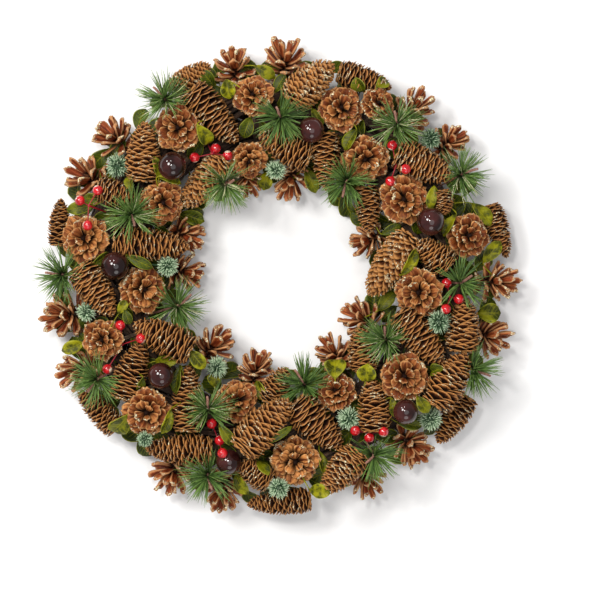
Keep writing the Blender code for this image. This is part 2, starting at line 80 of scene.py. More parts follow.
class Bundle:
    """Many small closed scraps of mesh that become one piece, with numbers painted on their points."""

    def __init__(self):
        self.points, self.faces, self.finishes = [], [], []
        self.marks = {mark: [] for mark in MARKS}
        self.count = 0

    def add(self, points, faces, along=0.0, across=0.0, tone=0.5, finish=0):
        points = np.asarray(points, float).reshape(-1, 3)
        self.points.append(points)
        self.faces += [face + self.count for face in faces]
        self.finishes += [np.full(len(face), finish) for face in faces]
        for mark, value in zip(MARKS, (along, across, tone)):
            self.marks[mark].append(np.broadcast_to(np.asarray(value, float).ravel(), len(points)))
        self.count += len(points)

    def piece(self, name, *finishes):
        """The piece itself, riding on the wreath's one body."""
        mesh = bpy.data.meshes.new(name)
        mesh.vertices.add(self.count)
        mesh.vertices.foreach_set("co", np.concatenate(self.points).ravel())
        corners = np.concatenate([face.ravel() for face in self.faces])
        sizes = np.concatenate([np.full(len(face), face.shape[1]) for face in self.faces])
        mesh.loops.add(len(corners))
        mesh.loops.foreach_set("vertex_index", corners)
        mesh.polygons.add(len(sizes))
        mesh.polygons.foreach_set("loop_start", np.cumsum(sizes) - sizes)
        mesh.polygons.foreach_set("material_index", np.concatenate(self.finishes))
        mesh.update(calc_edges=True)
        mesh.shade_smooth()
        for mark, values in self.marks.items():
            mesh.attributes.new(mark, "FLOAT", "POINT").data.foreach_set("value", np.concatenate(values))
        for finish in finishes:
            mesh.materials.append(finish)
        made = bpy.data.objects.new(name, mesh)
        bpy.context.scene.collection.objects.link(made)
        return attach(made, "root")


def unit(arrows):
    """Arrows of length 1, each along the last axis."""
    return arrows / np.linalg.norm(arrows, axis=-1, keepdims=True)


def rods(paths, half, sides, beside=(0.0, 0.0, 1.0), looped=False, marked=(0.0, 1.0)):
    """Round rods along one path (step, xyz) or many (rod, step, xyz), with half their thickness at each step.

    beside is any way that no rod runs. With the rods come the numbers to paint on them, along, from the first
    to the last of marked, and across.
    """
    paths = np.asarray(paths, float)
    if paths.ndim == 2:
        paths = paths[None]
    count, steps = paths.shape[:2]
    ahead = np.roll(paths, -1, 1) - np.roll(paths, 1, 1) if looped else np.gradient(paths, axis=1)
    ahead = unit(ahead)
    first = np.cross(ahead, np.broadcast_to(beside, ahead.shape))
    first /= np.linalg.norm(first, axis=2, keepdims=True) + 1e-12
    second = np.cross(ahead, first)
    turn = np.linspace(0, math.tau, sides, endpoint=False)[:, None]
    ring = first[:, :, None] * np.cos(turn) + second[:, :, None] * np.sin(turn)
    points = paths[:, :, None] + np.broadcast_to(half, (count, steps))[:, :, None, None] * ring
    spot = np.arange(count * steps * sides).reshape(count, steps, sides)
    here, after = (spot, np.roll(spot, -1, 1)) if looped else (spot[:, :-1], spot[:, 1:])
    faces = [np.stack([here, np.roll(here, -1, 2), np.roll(after, -1, 2), after], -1).reshape(-1, 4)]
    if not looped:
        faces += [spot[:, 0, ::-1], spot[:, -1]]
    along = np.broadcast_to(np.linspace(*marked, steps)[:, None], (count, steps, sides))
    across = np.broadcast_to(np.linspace(-1, 1, sides), (count, steps, sides))
    return points, faces, along, across


def node(tree, kind, feeds=None, **settings):
    """Adds a shader node, with its settings, and feeds its inputs by name or number."""
    made = tree.nodes.new("ShaderNode" + kind)
    for name, value in settings.items():
        setattr(made, name, value)
    for name, feed in (feeds or {}).items():
        if isinstance(feed, bpy.types.NodeSocket):
            tree.links.new(feed, made.inputs[name])
        else:
            made.inputs[name].default_value = feed
    return made


def sums(operation, first, second=0.0, third=0.0):
    """A sum in the material that its first value, a socket, belongs to."""
    return node(first.id_data, "Math", {0: first, 1: second, 2: third}, operation=operation).outputs[0]


def plus(first, second):
    return sums("ADD", first, second)


def times(first, second):
    return sums("MULTIPLY", first, second)


def mixed(share, first, second):
    """One colour laid over another by a share."""
    first, second = ((*paint, 1.0) if isinstance(paint, tuple) else paint for paint in (first, second))
    return node(share.id_data, "Mix", {0: share, 6: first, 7: second}, data_type="RGBA").outputs[2]


def between(value, low, high, to_low=0.0, to_high=1.0):
    """A value stretched from one range to another, with soft ends."""
    feeds = {0: value, 1: low, 2: high, 3: to_low, 4: to_high}
    return node(value.id_data, "MapRange", feeds, interpolation_type="SMOOTHSTEP").outputs[0]


def object_place(tree):
    return node(tree, "TexCoord").outputs["Object"]


def mottle(tree, scale, detail=3.0, roughness=0.55, place=None):
    """Cloudy noise, fixed to the object unless another place is given."""
    place = object_place(tree) if place is None else place
    feeds = {"Vector": place, "Scale": scale, "Detail": detail, "Roughness": roughness}
    return node(tree, "TexNoise", feeds).outputs["Fac"]


def painted(tree, mark):
    """A number painted on the points of a mesh."""
    return node(tree, "Attribute", attribute_name=mark).outputs["Fac"]


def finish_named(name, dullness, **constants):
    """A new material with its own plain values, and its tree of nodes."""
    material = bpy.data.materials.new(name)
    material.use_nodes = True
    shader = material.node_tree.nodes["Principled BSDF"]
    shader.inputs["Roughness"].default_value = dullness
    for socket, value in constants.items():
        shader.inputs[socket.replace("_", " ")].default_value = value
    return material, material.node_tree


def lay_on(colour, height=None, depth=0.0, dullness=None):
    """Gives a material its colour, its bump to a depth in metres, and its roughness where that changes."""
    tree = colour.id_data
    shader = tree.nodes["Principled BSDF"]
    tree.links.new(colour, shader.inputs["Base Color"])
    if height is not None:
        bump = node(tree, "Bump", {"Strength": 1.0, "Distance": depth, "Height": height})
        tree.links.new(bump.outputs[0], shader.inputs["Normal"])
    if dullness is not None:
        tree.links.new(dullness, shader.inputs["Roughness"])


def effect_group(name, inputs, outputs):
    """An empty node group with named sockets, the inputs with their kind and plain value."""
    group = bpy.data.node_groups.new(name, "ShaderNodeTree")
    for socket, kind, value in inputs:
        made = group.interface.new_socket(socket, in_out="INPUT", socket_type="NodeSocket" + kind)
        if value is not None:
            made.default_value = value
    for socket in outputs:
        group.interface.new_socket(socket, in_out="OUTPUT", socket_type="NodeSocketFloat")
    return group, group.nodes.new("NodeGroupInput").outputs, group.nodes.new("NodeGroupOutput").inputs


# Fibres: fine lines that run along a vine, a scale, a needle or a twig, from the painted numbers
FIBRE_INPUTS = {"Along": 0.0, "Across": 0.0, "Tone": 0.0, "Lines": 20.0, "Stretch": 2.0}
fibre_group, fibre_in, fibre_out = effect_group(
    "fibres", [(socket, "Float", value) for socket, value in FIBRE_INPUTS.items()], ("Line", "Patch"))
fibre_place = node(fibre_group, "CombineXYZ", {
    0: times(fibre_in["Across"], fibre_in["Lines"]),
    1: times(fibre_in["Along"], fibre_in["Stretch"]),
    2: times(fibre_in["Tone"], 43.0),
}).outputs[0]
fibre_group.links.new(mottle(fibre_group, 1.0, 4.0, 0.65, fibre_place), fibre_out["Line"])
fibre_group.links.new(mottle(fibre_group, 0.21, 2.0, place=fibre_place), fibre_out["Patch"])


def fibres(tree, lines, stretch):
    feeds = {mark.title(): painted(tree, mark) for mark in MARKS}
    feeds.update(Lines=lines, Stretch=stretch)
    return node(tree, "Group", feeds, node_tree=fibre_group).outputs


bark, tree = finish_named("vine_bark", 0.85)
line = fibres(tree, 5.0, 160.0)["Line"]
colour = mixed(between(line, 0.32, 0.68), BARK_DARK, BARK)
colour = mixed(between(mottle(tree, 90.0), 0.52, 0.75, 0.0, 0.7), colour, BARK_PALE)
lay_on(colour, plus(line, mottle(tree, 700.0)), 0.0008)

binding_wire, tree = finish_named("binding_wire", 0.5, Metallic=0.6)
lay_on(mixed(mottle(tree, 160.0), WIRE_DARK, WIRE_BROWN))


def ring_path(around, turn, share, low, high):
    """A path round the ring, by its turn and its share of the way out in the rounded, flat-backed section."""
    out, up = (share * np.sign(wave) * np.abs(wave) ** squareness
               for wave, squareness in zip((np.cos(turn), np.sin(turn)), RING_SQUARENESS))
    reach = RING_RADIUS + RING_HALF_WIDTH * out
    up = RING_HEIGHT / 2 * (1 + up)
    return np.stack([reach * np.cos(around), reach * np.sin(around), np.clip(up, low, high)], -1)


draw = np.random.default_rng(3)
around = np.linspace(0, math.tau, RING_STEPS, endpoint=False)
ring = Bundle()
for vines, share in VINE_LAYERS:
    for vine in range(vines):
        half = draw.uniform(*VINE_HALF)
        wander = sum(draw.uniform(0.02, 0.07) * np.sin(wave * around + draw.uniform(*ANY_START))
                     for wave in (3, 5, 8))
        turn = math.tau * vine / vines + VINE_TURNS * around + wander
        depth = share + 0.035 * np.sin(7 * around + draw.uniform(*ANY_START)) + draw.uniform(-0.03, 0.02)
        path = ring_path(around, turn, depth, half, RING_HEIGHT - half)
        swell = half * (1 + 0.10 * np.sin(11 * around + draw.uniform(*ANY_START)))
        ring.add(*rods(path, swell, 5, looped=True), draw.uniform(0, 1))
for binding in range(BINDINGS):
    middle = math.tau * (binding + draw.uniform(-0.15, 0.15)) / BINDINGS
    turn = np.linspace(0, BINDING_TURNS * math.tau, BINDING_STEPS)
    around = middle + np.linspace(-BINDING_SPREAD, BINDING_SPREAD, BINDING_STEPS)
    path = ring_path(around, turn, BINDING_SHARE, BINDING_LOWEST, RING_HEIGHT)
    ring.add(*rods(path, BINDING_HALF, 5, (-math.sin(middle), math.cos(middle), 0.0)), finish=1)
vine_ring = ring.piece("vine_bundle", bark, binding_wire)
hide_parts("vine_ring")

# Open cones that face forward
# Cones about 45 mm across, wired on with their tips forward, so that their woody scales spread like petals.
# The scales grow round the core by the golden angle, and are lighter at the rim, with cream glitter glued on.
PIXEL = 0.000975
MIDDLE_ACROSS = 274.0
MIDDLE_DOWN = 278.0
ARCH_FOOT = 0.030
ARCH_RISE = 0.036
ARCH_HALF_WIDTH = 0.063
SECTORS = 16
GOLDEN = math.radians(137.508)
UMBO_PLACE = 0.88
UMBO_SIZE = (0.10, 0.35)
OPEN_SCALES = 34
OPEN_FRONT = 16
OPEN_SPREAD = 1.08
OPEN_LEAN = 30
OPEN_GRID = (9, 7)
OPEN_BROWN = (0.215, 0.054, 0.010)
OPEN_TAN = (0.54, 0.218, 0.060)
OPEN_RIM = (0.66, 0.33, 0.12)
# near black: painted shade in the crevices at the scales' roots, and the wood's own dark specks
ROOT_SHADE_AND_SPECK = (0.012, 0.004, 0.002)
CONE_DULLNESS = 0.55
# the glitter's specks go from a painted shadow to a painted cream glint, by their grain
GLITTER_SHADOW = (0.50, 0.42, 0.20)
GLITTER_CREAM_GLINT = (0.88, 0.82, 0.56)
# across, down, radius in pixels, millimetres that it is lifted to clear its neighbours, paleness
OPEN_CONES = (
    (179, 129, 24, 15, 0.45), (253, 96, 21, 0, 0.50), (341, 109, 23, 0, 0.50), (365, 160, 24, 0, 0.55),
    (404, 200, 25, 1, 0.45), (468, 236, 22, 0, 0.25), (418, 293, 25, 10, 0.60), (404, 376, 25, 9, 0.35),
    (336, 391, 20, 0, 0.35), (295, 461, 25, 0, 1.10), (148, 412, 24, 15, 0.50), (103, 340, 21, 0, 0.55),
    (144, 290, 24, 0, 0.60), (85, 239, 25, 3, 0.65), (163, 203, 23, 3, 0.50), (249, 161, 19, 0, 0.60),
    (237, 400, 22, 0, 0.50), (378, 104, 17, 4, 0.30),
)


def on_wreath(across, down):
    return np.array([(across - MIDDLE_ACROSS) * PIXEL, (MIDDLE_DOWN - down) * PIXEL, 0.0])


def off_middle(place):
    """How far a place is outside the ring's middle line, as a share of the arch's half width."""
    return (math.hypot(place[0], place[1]) - RING_RADIUS) / ARCH_HALF_WIDTH


def arch_height(place):
    """Height of the middle of a cone whose middle is over this place."""
    return ARCH_FOOT + ARCH_RISE * math.sqrt(max(0.0, 1.0 - off_middle(place) ** 2))


def spun(axis, angle):
    """Rotation matrix about an axis."""
    x, y, z = unit(np.asarray(axis, float))
    cross = np.array([[0, -z, y], [z, 0, -x], [-y, x, 0]])
    return np.eye(3) + math.sin(angle) * cross + (1 - math.cos(angle)) * cross @ cross


def round_axis(angle):
    """Turn about the cone's own axis."""
    return spun((0, 0, 1), angle)


def arch_lean(place, most):
    """Turn that leans +Z away from the ring's middle line by up to this many degrees."""
    angle = math.radians(most) * max(-1.0, min(1.0, off_middle(place)))
    around_here = math.atan2(place[1], place[0])
    return spun((-math.sin(around_here), math.cos(around_here), 0.0), angle)


def cones_node(place):
    """Name of the solid that stands for the cones of this sector of the ring."""
    around_here = math.degrees(math.atan2(place[1], place[0])) % 360.0
    return f"cones_{int(around_here / (360.0 / SECTORS)) + 1:02d}"


def shell_faces(along, across):
    """Faces of a closed shell: a grid over a grid, sewn along its edge."""
    grid = np.arange(along * across).reshape(along, across)
    top = np.stack([grid[:-1, :-1], grid[1:, :-1], grid[1:, 1:], grid[:-1, 1:]], -1).reshape(-1, 4)
    rim = np.concatenate([grid[0, :-1], grid[:-1, -1], grid[-1, :0:-1], grid[:0:-1, 0]])
    after = np.roll(rim, -1)
    side = np.stack([rim, after, after + along * across, rim + along * across], -1)
    return [np.concatenate([top, top[:, ::-1] + along * across, side])]


def woody_scale(line, half_width, thick, grid, cup, rounding, wrap=0.0, umbo=0.0, lean=0.0):
    """A scale as a closed shell. line(share) gives how far out and up its middle is, in metres.

    cup curls its sides, rounding draws them back, wrap bends them round the cone and lean tilts them.
    umbo is the height of the boss near its end.
    """
    rows, columns = grid
    along = 1 - (1 - np.linspace(0, 1, rows)[:, None]) ** 1.5 + np.zeros((1, columns))
    aside = np.linspace(-1, 1, columns)[None, :] + np.zeros((rows, 1))
    share = along * (1 - rounding * aside * aside * along)
    out, up = line(share)
    out_before, up_before = line(np.maximum(share - 0.01, 0.0))
    out_after, up_after = line(np.minimum(share + 0.01, 1.0))
    slope = unit(np.stack([out_after - out_before, np.zeros_like(out), up_after - up_before], -1))
    normal = np.stack([-slope[..., 2], np.zeros_like(out), slope[..., 0]], -1)
    wide = half_width(along)
    side = aside * wide
    middle = np.stack([out - wrap * side * side / np.maximum(out, 0.004), side, up + lean * side], -1)
    middle += normal * (cup * aside * aside * wide)[..., None]
    swell = umbo * np.exp(-((along - UMBO_PLACE) / UMBO_SIZE[0]) ** 2 - (aside / UMBO_SIZE[1]) ** 2)
    body = thick(along) * (1 - 0.40 * aside**4)
    upper = middle + normal * (0.5 * body + swell)[..., None]
    lower = middle - normal * (0.5 * body + 0.6 * swell)[..., None]
    points = np.concatenate([upper.reshape(-1, 3), lower.reshape(-1, 3)])
    return points, np.tile(along.ravel(), 2), np.tile(aside.ravel(), 2)


def core_rod(bundle, turn, middle, low, high, half, tone):
    """The woody core that the scales grow from."""
    steps = np.linspace(low, high, 5)
    path = middle + (turn @ np.stack([0 * steps, 0 * steps, steps])).T
    taper = half * np.array([0.7, 1, 1, 0.8, 0.3])
    bundle.add(*rods(path, taper, 6, turn[:, 0], marked=(0.15, 0.15)), tone)


# Frosting: cream glitter glued in specks and small crusts, thicker where the painted place asks for it
frost_group, frost_in, frost_out = effect_group(
    "frosting", [("Vector", "Vector", None), ("Where", "Float", 0.5), ("Fineness", "Float", 900.0)],
    ("Mask", "Grain"))
specks = node(frost_group, "TexVoronoi", {"Vector": frost_in["Vector"], "Scale": frost_in["Fineness"]})
grain = node(frost_group, "SeparateColor", {0: specks.outputs["Color"]}).outputs[0]
crust = mottle(frost_group, 75.0, 4.0, 0.7, frost_in["Vector"])
amount = plus(plus(times(crust, 0.9), frost_in["Where"]), times(grain, 0.35))
normal = node(frost_group, "NewGeometry").outputs["Normal"]
face_up = node(frost_group, "SeparateXYZ", {0: normal}).outputs[2]
amount = times(amount, between(face_up, -0.3, 0.4, 0.75, 1.0))
frost_group.links.new(between(amount, 1.10, 1.22), frost_out["Mask"])
frost_group.links.new(grain, frost_out["Grain"])


def frosting(tree, where, fineness=1100.0):
    feeds = {"Vector": object_place(tree), "Where": where, "Fineness": fineness}
    return node(tree, "Group", feeds, node_tree=frost_group).outputs


def frosted(colour, where, shadow, glint, fineness=1100.0):
    """A colour with glitter over it, and the frosting's outputs."""
    # Each speck is mixed by its grain between a painted shadow and a painted glint
    frost = frosting(colour.id_data, where, fineness)
    return mixed(frost["Mask"], colour, mixed(frost["Grain"], shadow, glint)), frost


def scale_finish(name, brown, tan, rim, shade, glitter, lines):
    """Wood of a cone's scales: dark at the root, streaked along, paler at the rim, with glitter on the ends.

    shade is where along a scale the painted root shade over the darker wood ends, and glitter how much of it
    lies on the root and the end.
    """
    material, tree = finish_named(name, CONE_DULLNESS, Specular_IOR_Level=0.15)
    along, across, tone = (painted(tree, mark) for mark in MARKS)
    fibre = fibres(tree, lines, 1.2)
    line = fibre["Line"]
    streak = tuple(share * part for share, part in zip((0.42, 0.32, 0.26), brown))
    colour = mixed(between(plus(tone, times(fibre["Patch"], 0.5)), 0.35, 1.25), brown, tan)
    colour = mixed(between(line, 0.40, 0.62, 1.0, 0.0), colour, streak)
    colour = mixed(between(line, 0.58, 0.78, 0.0, 0.6), colour, rim)
    # The root is darker wood with painted shade over it, where the crevices between the scales fall into
    # shade
    past_root_shade = between(along, *shade)
    colour = mixed(past_root_shade, ROOT_SHADE_AND_SPECK, colour)
    edge = sums("MAXIMUM", between(along, 0.86, 1.0), between(sums("ABSOLUTE", across), 0.72, 1.0))
    colour = mixed(times(times(edge, past_root_shade), 0.85), colour, rim)
    speck = mottle(tree, 420.0, 2.0)
    colour = mixed(between(speck, 0.58, 0.72, 0.0, 0.45), colour, ROOT_SHADE_AND_SPECK)
    colour, frost = frosted(colour, between(along, 0.55, 0.98, *glitter), GLITTER_SHADOW, GLITTER_CREAM_GLINT)
    height = plus(times(line, 1.2), times(frost["Mask"], plus(frost["Grain"], 0.6)))
    dullness = between(speck, 0.3, 0.7, CONE_DULLNESS - 0.1, CONE_DULLNESS + 0.15)
    lay_on(colour, height, 0.0011, sums("SUBTRACT", dullness, times(frost["Mask"], 0.2)))
    return material


open_cone_wood = scale_finish(
    "open_cone_wood", OPEN_BROWN, OPEN_TAN, OPEN_RIM, shade=(0.36, 0.76), glitter=(0.0, 0.42), lines=2.6)
draw = np.random.default_rng(11)
open_faces = shell_faces(*OPEN_GRID)
for number, (across, down, radius, lift, pale) in enumerate(OPEN_CONES):
    place = on_wreath(across, down)
    turn = arch_lean(place, OPEN_LEAN)
    middle = place + (0, 0, arch_height(place) + 0.001 * lift)
    radius *= PIXEL * OPEN_SPREAD
    bundle = Bundle()
    start = draw.uniform(0, math.tau)
    for scale in range(OPEN_SCALES):
        # The front ones spread from the bud out to the rim. The ones behind are shorter, and hang under them.
        inside = min(1.0, math.sqrt((scale + 0.6) / OPEN_FRONT))
        if scale < OPEN_FRONT:
            reach = radius * (0.06 + 0.94 * inside) * draw.uniform(0.88, 1.04)
            rise = radius * (0.46 - 0.50 * inside**1.6 + draw.uniform(-0.06, 0.06))
            drop = radius * (0.36 + 0.10 * inside)
        else:
            below = (scale - OPEN_FRONT) / (OPEN_SCALES - OPEN_FRONT)
            reach = radius * (0.99 - 0.32 * below)
            rise = radius * (-0.12 - 0.44 * below)
            drop = radius * (0.30 - 0.22 * below)
        root = radius * (0.02 + 0.07 * inside)
        half = radius * (0.12 + 0.23 * inside) * draw.uniform(0.85, 1.12)
        bow = draw.uniform(0.16, 0.26) * radius

        def line(share):
            out = root + (reach - root) * share
            up = rise - drop * (1 - share) ** 1.5 + bow * share * (1 - share) - 0.05 * radius * share**5
            return out, up

        def half_width(share):
            grown = 0.20 + 0.80 * np.sin(np.minimum(1.0, share / 0.78) * math.pi / 2) ** 1.6
            return half * grown * np.sqrt(1 - (np.maximum(0.0, share - 0.72) / 0.295) ** 2)

        def thick(share):
            return radius * (0.030 + 0.060 / (1 + np.exp((0.72 - share) * 18))) * (1 - 0.55 * share**14)

        points, along, aside = woody_scale(
            line, half_width, thick, OPEN_GRID, cup=draw.uniform(-0.24, 0.12),
            rounding=draw.uniform(0.0, 0.12), umbo=0.030 * radius, lean=draw.uniform(-0.22, 0.22))
        # Dry scales are warped, most at their ends
        wave = np.sin(5.0 * aside + draw.uniform(*ANY_START)) * radius
        points[:, 0] += 0.035 * along**4 * wave
        points[:, 2] += 0.030 * along**3 * np.roll(wave, 2)
        angle = start + scale * GOLDEN + draw.uniform(-0.10, 0.10)
        points = points @ (turn @ round_axis(angle)).T + middle
        # The first eight make the bud, which shows less of the painted root shade
        less_root_shade = 0.5 * max(0.0, 1 - scale / 8)
        tone = pale + draw.uniform(-0.28, 0.28)
        bundle.add(points, open_faces, less_root_shade + (1 - less_root_shade) * along, aside, tone)
    core_rod(bundle, turn, middle, -0.60 * radius, 0.30 * radius, 0.15 * radius, 0.2)
    cone = bundle.piece(f"open_cone_{number + 1:02d}", open_cone_wood)
    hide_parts(cones_node(place))

# Long cones
# Cones 25 to 70 mm long, wired on lying down, so that their sides show rows of thin curved scales.
# Some have opened, with dark gaps between the lips, and some are almost shut, with short pointed scales.
LONG_SPREAD = 1.06
LONG_GRID = (4, 5)
LONG_SCALES = 38
LONG_SCALES_A_METRE = 1250
MORE_WHEN_SHUT = 0.80
BASE_SCALES = 13
BASE_GRID = (5, 5)
LOWEST = 0.001
LONG_BROWN = (0.110, 0.027, 0.006)
LONG_TAN = (0.34, 0.118, 0.026)
LONG_RIM = (0.50, 0.225, 0.065)
# across, down, heading of the tip in degrees, length, width, millimetres lifted, how far shut, paleness
LONG_CONES = (
    (144, 152, 86, 58, 33, 0, 0.3, 0.55), (214, 117, -48, 68, 36, 0, 0.0, 0.45),
    (192, 77, 35, 42, 25, 0, 0.8, 0.50), (205, 183, 228, 60, 34, 0, 0.8, 0.60),
    (311, 83, 42, 56, 36, 0, 0.7, 0.60), (365, 80, -18, 54, 27, 0, 0.1, 0.50),
    (284, 147, 152, 56, 34, 0, 0.0, 0.55), (326, 162, -88, 56, 28, 0, 0.2, 0.60),
    (425, 166, -24, 60, 34, 0, 0.1, 0.60), (368, 210, -85, 46, 26, 0, 0.2, 0.60),
    (443, 203, -80, 24, 21, 0, 0.3, 0.40), (433, 254, 140, 40, 29, 0, 0.2, 0.60),
    (391, 265, 234, 70, 37, 2, 1.0, 0.50), (463, 325, 84, 52, 33, 0, 0.3, 0.45),
    (420, 338, -48, 66, 36, 0, 0.1, 0.45), (450, 379, 60, 60, 37, 10, 0.1, 0.60),
    (453, 420, 238, 54, 28, 0, 0.2, 0.40), (373, 404, 93, 52, 32, 0, 0.2, 0.50),
    (318, 425, -45, 64, 36, 0, 0.0, 0.50), (265, 424, 45, 68, 37, 13, 0.4, 0.70),
    (341, 471, 230, 52, 32, 12, 0.4, 0.50), (279, 502, 184, 62, 26, 0, 0.2, 0.40),
    (254, 472, 150, 36, 27, 0, 0.2, 0.45), (179, 449, 178, 64, 31, 0, 0.1, 0.65),
    (188, 398, 88, 64, 32, 0, 0.1, 0.60), (133, 370, 70, 60, 33, 0, 0.0, 0.50),
    (163, 337, 155, 62, 35, 19, 0.0, 0.50), (97, 291, -55, 58, 34, 0, 0.2, 0.65),
    (152, 245, -3, 74, 33, 2, 0.1, 0.70), (60, 222, 88, 46, 23, 0, 0.1, 0.50),
    (98, 410, 135, 52, 26, 0, 0.3, 0.50), (499, 231, -72, 54, 24, 0, 0.3, 0.45),
    (277, 385, 60, 40, 26, 0, 0.3, 0.35), (362, 349, 100, 42, 30, 2, 0.2, 0.50),
    (118, 195, -20, 42, 27, 0, 0.1, 0.40),
)

long_cone_wood = scale_finish(
    "long_cone_wood", LONG_BROWN, LONG_TAN, LONG_RIM, shade=(0.68, 0.98), glitter=(-0.03, 0.37), lines=2.4)
draw = np.random.default_rng(23)
long_faces = shell_faces(*LONG_GRID)
base_faces = [faces[:, ::-1] for faces in shell_faces(*BASE_GRID)]
for number, (across, down, heading, length, width, lift, shut, pale) in enumerate(LONG_CONES):
    place = on_wreath(across, down)
    middle = place + (0, 0, arch_height(place) + 0.001 * lift)
    heading = math.radians(heading)
    ahead = (math.cos(heading), math.sin(heading), 0.0)
    beside = (-math.sin(heading), math.cos(heading), 0.0)
    turn = np.stack([beside, (0.0, 0.0, 1.0), ahead], -1)
    length *= PIXEL
    width *= PIXEL * LONG_SPREAD
    scales = int((LONG_SCALES + LONG_SCALES_A_METRE * length) * (1 + MORE_WHEN_SHUT * shut))
    bundle = Bundle()
    start = draw.uniform(0, math.tau)
    for scale in range(scales):
        # at goes from the base to the tip, where the scales are shorter, narrower and steeper
        at = (scale + 0.5) / scales
        near_tip = max(0.0, (at - 0.86) / 0.14)
        reach = 0.54 * width * math.sin(math.pi * (0.16 + 0.76 * at) ** 0.72) ** 0.6 * draw.uniform(0.89, 1.0)
        reach *= 1 - 0.70 * near_tip**2
        tip_up = (at - 0.5 + 0.03 * shut) * length + near_tip * 0.02 * length
        tip_up += draw.uniform(-0.014, 0.014) * length * (1 - near_tip)
        steep = min((0.27 + 0.25 * shut) * width + 0.12 * width * near_tip, tip_up + 0.50 * length)
        root_out = 0.22 * reach
        half = width * (0.275 - 0.145 * shut) * (0.42 + 0.58 * (reach / (0.54 * width)))
        half *= draw.uniform(0.84, 1.14) * (1 - 0.35 * near_tip)
        hook = 0.015 * width * (1 - shut)

        def line(share):
            out = root_out + (reach - root_out) * (share + (0.10 + 0.20 * shut) * share * (1 - share))
            up = tip_up - steep * (1 - share) ** 1.2 + hook * (share**6 - 1)
            return out, up

        def half_width(share):
            ends = np.sqrt(1 - (np.maximum(0.0, share - 0.72) / 0.28) ** 2 * 0.55)
            return half * (0.35 + 0.65 * np.sin(np.minimum(1.0, share / 0.6) * math.pi / 2)) * ends

        def thick(share):
            return width * (0.015 + (0.008 + 0.032 * shut) * share**2) * (1 - 0.40 * share**12)

        points, along, aside = woody_scale(
            line, half_width, thick, LONG_GRID, cup=-0.04, rounding=0.12, wrap=0.55,
            umbo=0.014 * width * shut, lean=draw.uniform(-0.24, 0.24))
        angle = start + scale * GOLDEN + draw.uniform(-0.10, 0.10)
        points = points @ (turn @ round_axis(angle)).T + middle
        points[:, 2] = np.maximum(points[:, 2], LOWEST)
        tone = pale + draw.uniform(-0.30, 0.22)
        # Shut cones have their numbers along raised, so less of each scale has the painted root shade
        bundle.add(points, long_faces, along ** (1 - 0.50 * shut), aside, tone)
    # The base shows a rosette of small scales that point backward, so their faces are turned round
    for scale in range(BASE_SCALES):
        reach = width * (0.14 + 0.26 * math.sqrt((scale + 0.5) / BASE_SCALES))

        def line(share):
            return 0.02 * width + (reach - 0.02 * width) * share, 0.03 * width * share**2

        def half_width(share):
            ends = np.sqrt(1 - (np.maximum(0.0, share - 0.7) / 0.32) ** 2)
            return 0.11 * width * (0.5 + 0.5 * share) * ends

        def thick(share):
            return 0.05 * width + 0 * share

        points, along, aside = woody_scale(line, half_width, thick, BASE_GRID, cup=-0.2, rounding=0.04)
        points = points * (1, 1, -1) @ round_axis(scale * GOLDEN).T
        points[:, 2] -= 0.505 * length - 0.03 * width * (scale / BASE_SCALES)
        # These scales are painted from 0.6 along, so they show little of the painted root shade
        bundle.add(points @ turn.T + middle, base_faces, 0.6 + 0.4 * along, aside, pale)
    core_rod(bundle, turn, middle, -0.46 * length, 0.44 * length, 0.13 * width, 0.2)
    cone = bundle.piece(f"long_cone_{number + 1:02d}", long_cone_wood)
    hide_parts(cones_node(place))

# Open cones along the rims
# Cones like those that face forward, but seen from the side, so that their scales stand like fingers.
# They are darker and redder, with blunt tan ends, and fill both edges of the wreath.
RIM_HEIGHT = 0.032
RIM_LEAN = 72
RIM_SPREAD = 1.12
RIM_FINGERS = 26
RIM_GRID = (7, 5)
RIM_BROWN = (0.25, 0.046, 0.012)
RIM_TAN = (0.46, 0.132, 0.036)
RIM_ENDS = (0.52, 0.26, 0.11)
# across, down, radius
RIM_CONES = (
    (114, 137, 19), (88, 177, 20), (234, 66, 18), (285, 60, 20), (414, 108, 18), (451, 141, 16),
    (499, 282, 18), (490, 337, 18), (412, 448, 18), (366, 479, 17), (223, 492, 18), (171, 475, 18),
    (78, 370, 19), (64, 316, 20), (214, 345, 18), (256, 368, 17), (186, 272, 16), (187, 236, 16),
    (291, 181, 17), (367, 241, 16), (361, 319, 18), (333, 353, 16), (248, 182, 13),
)

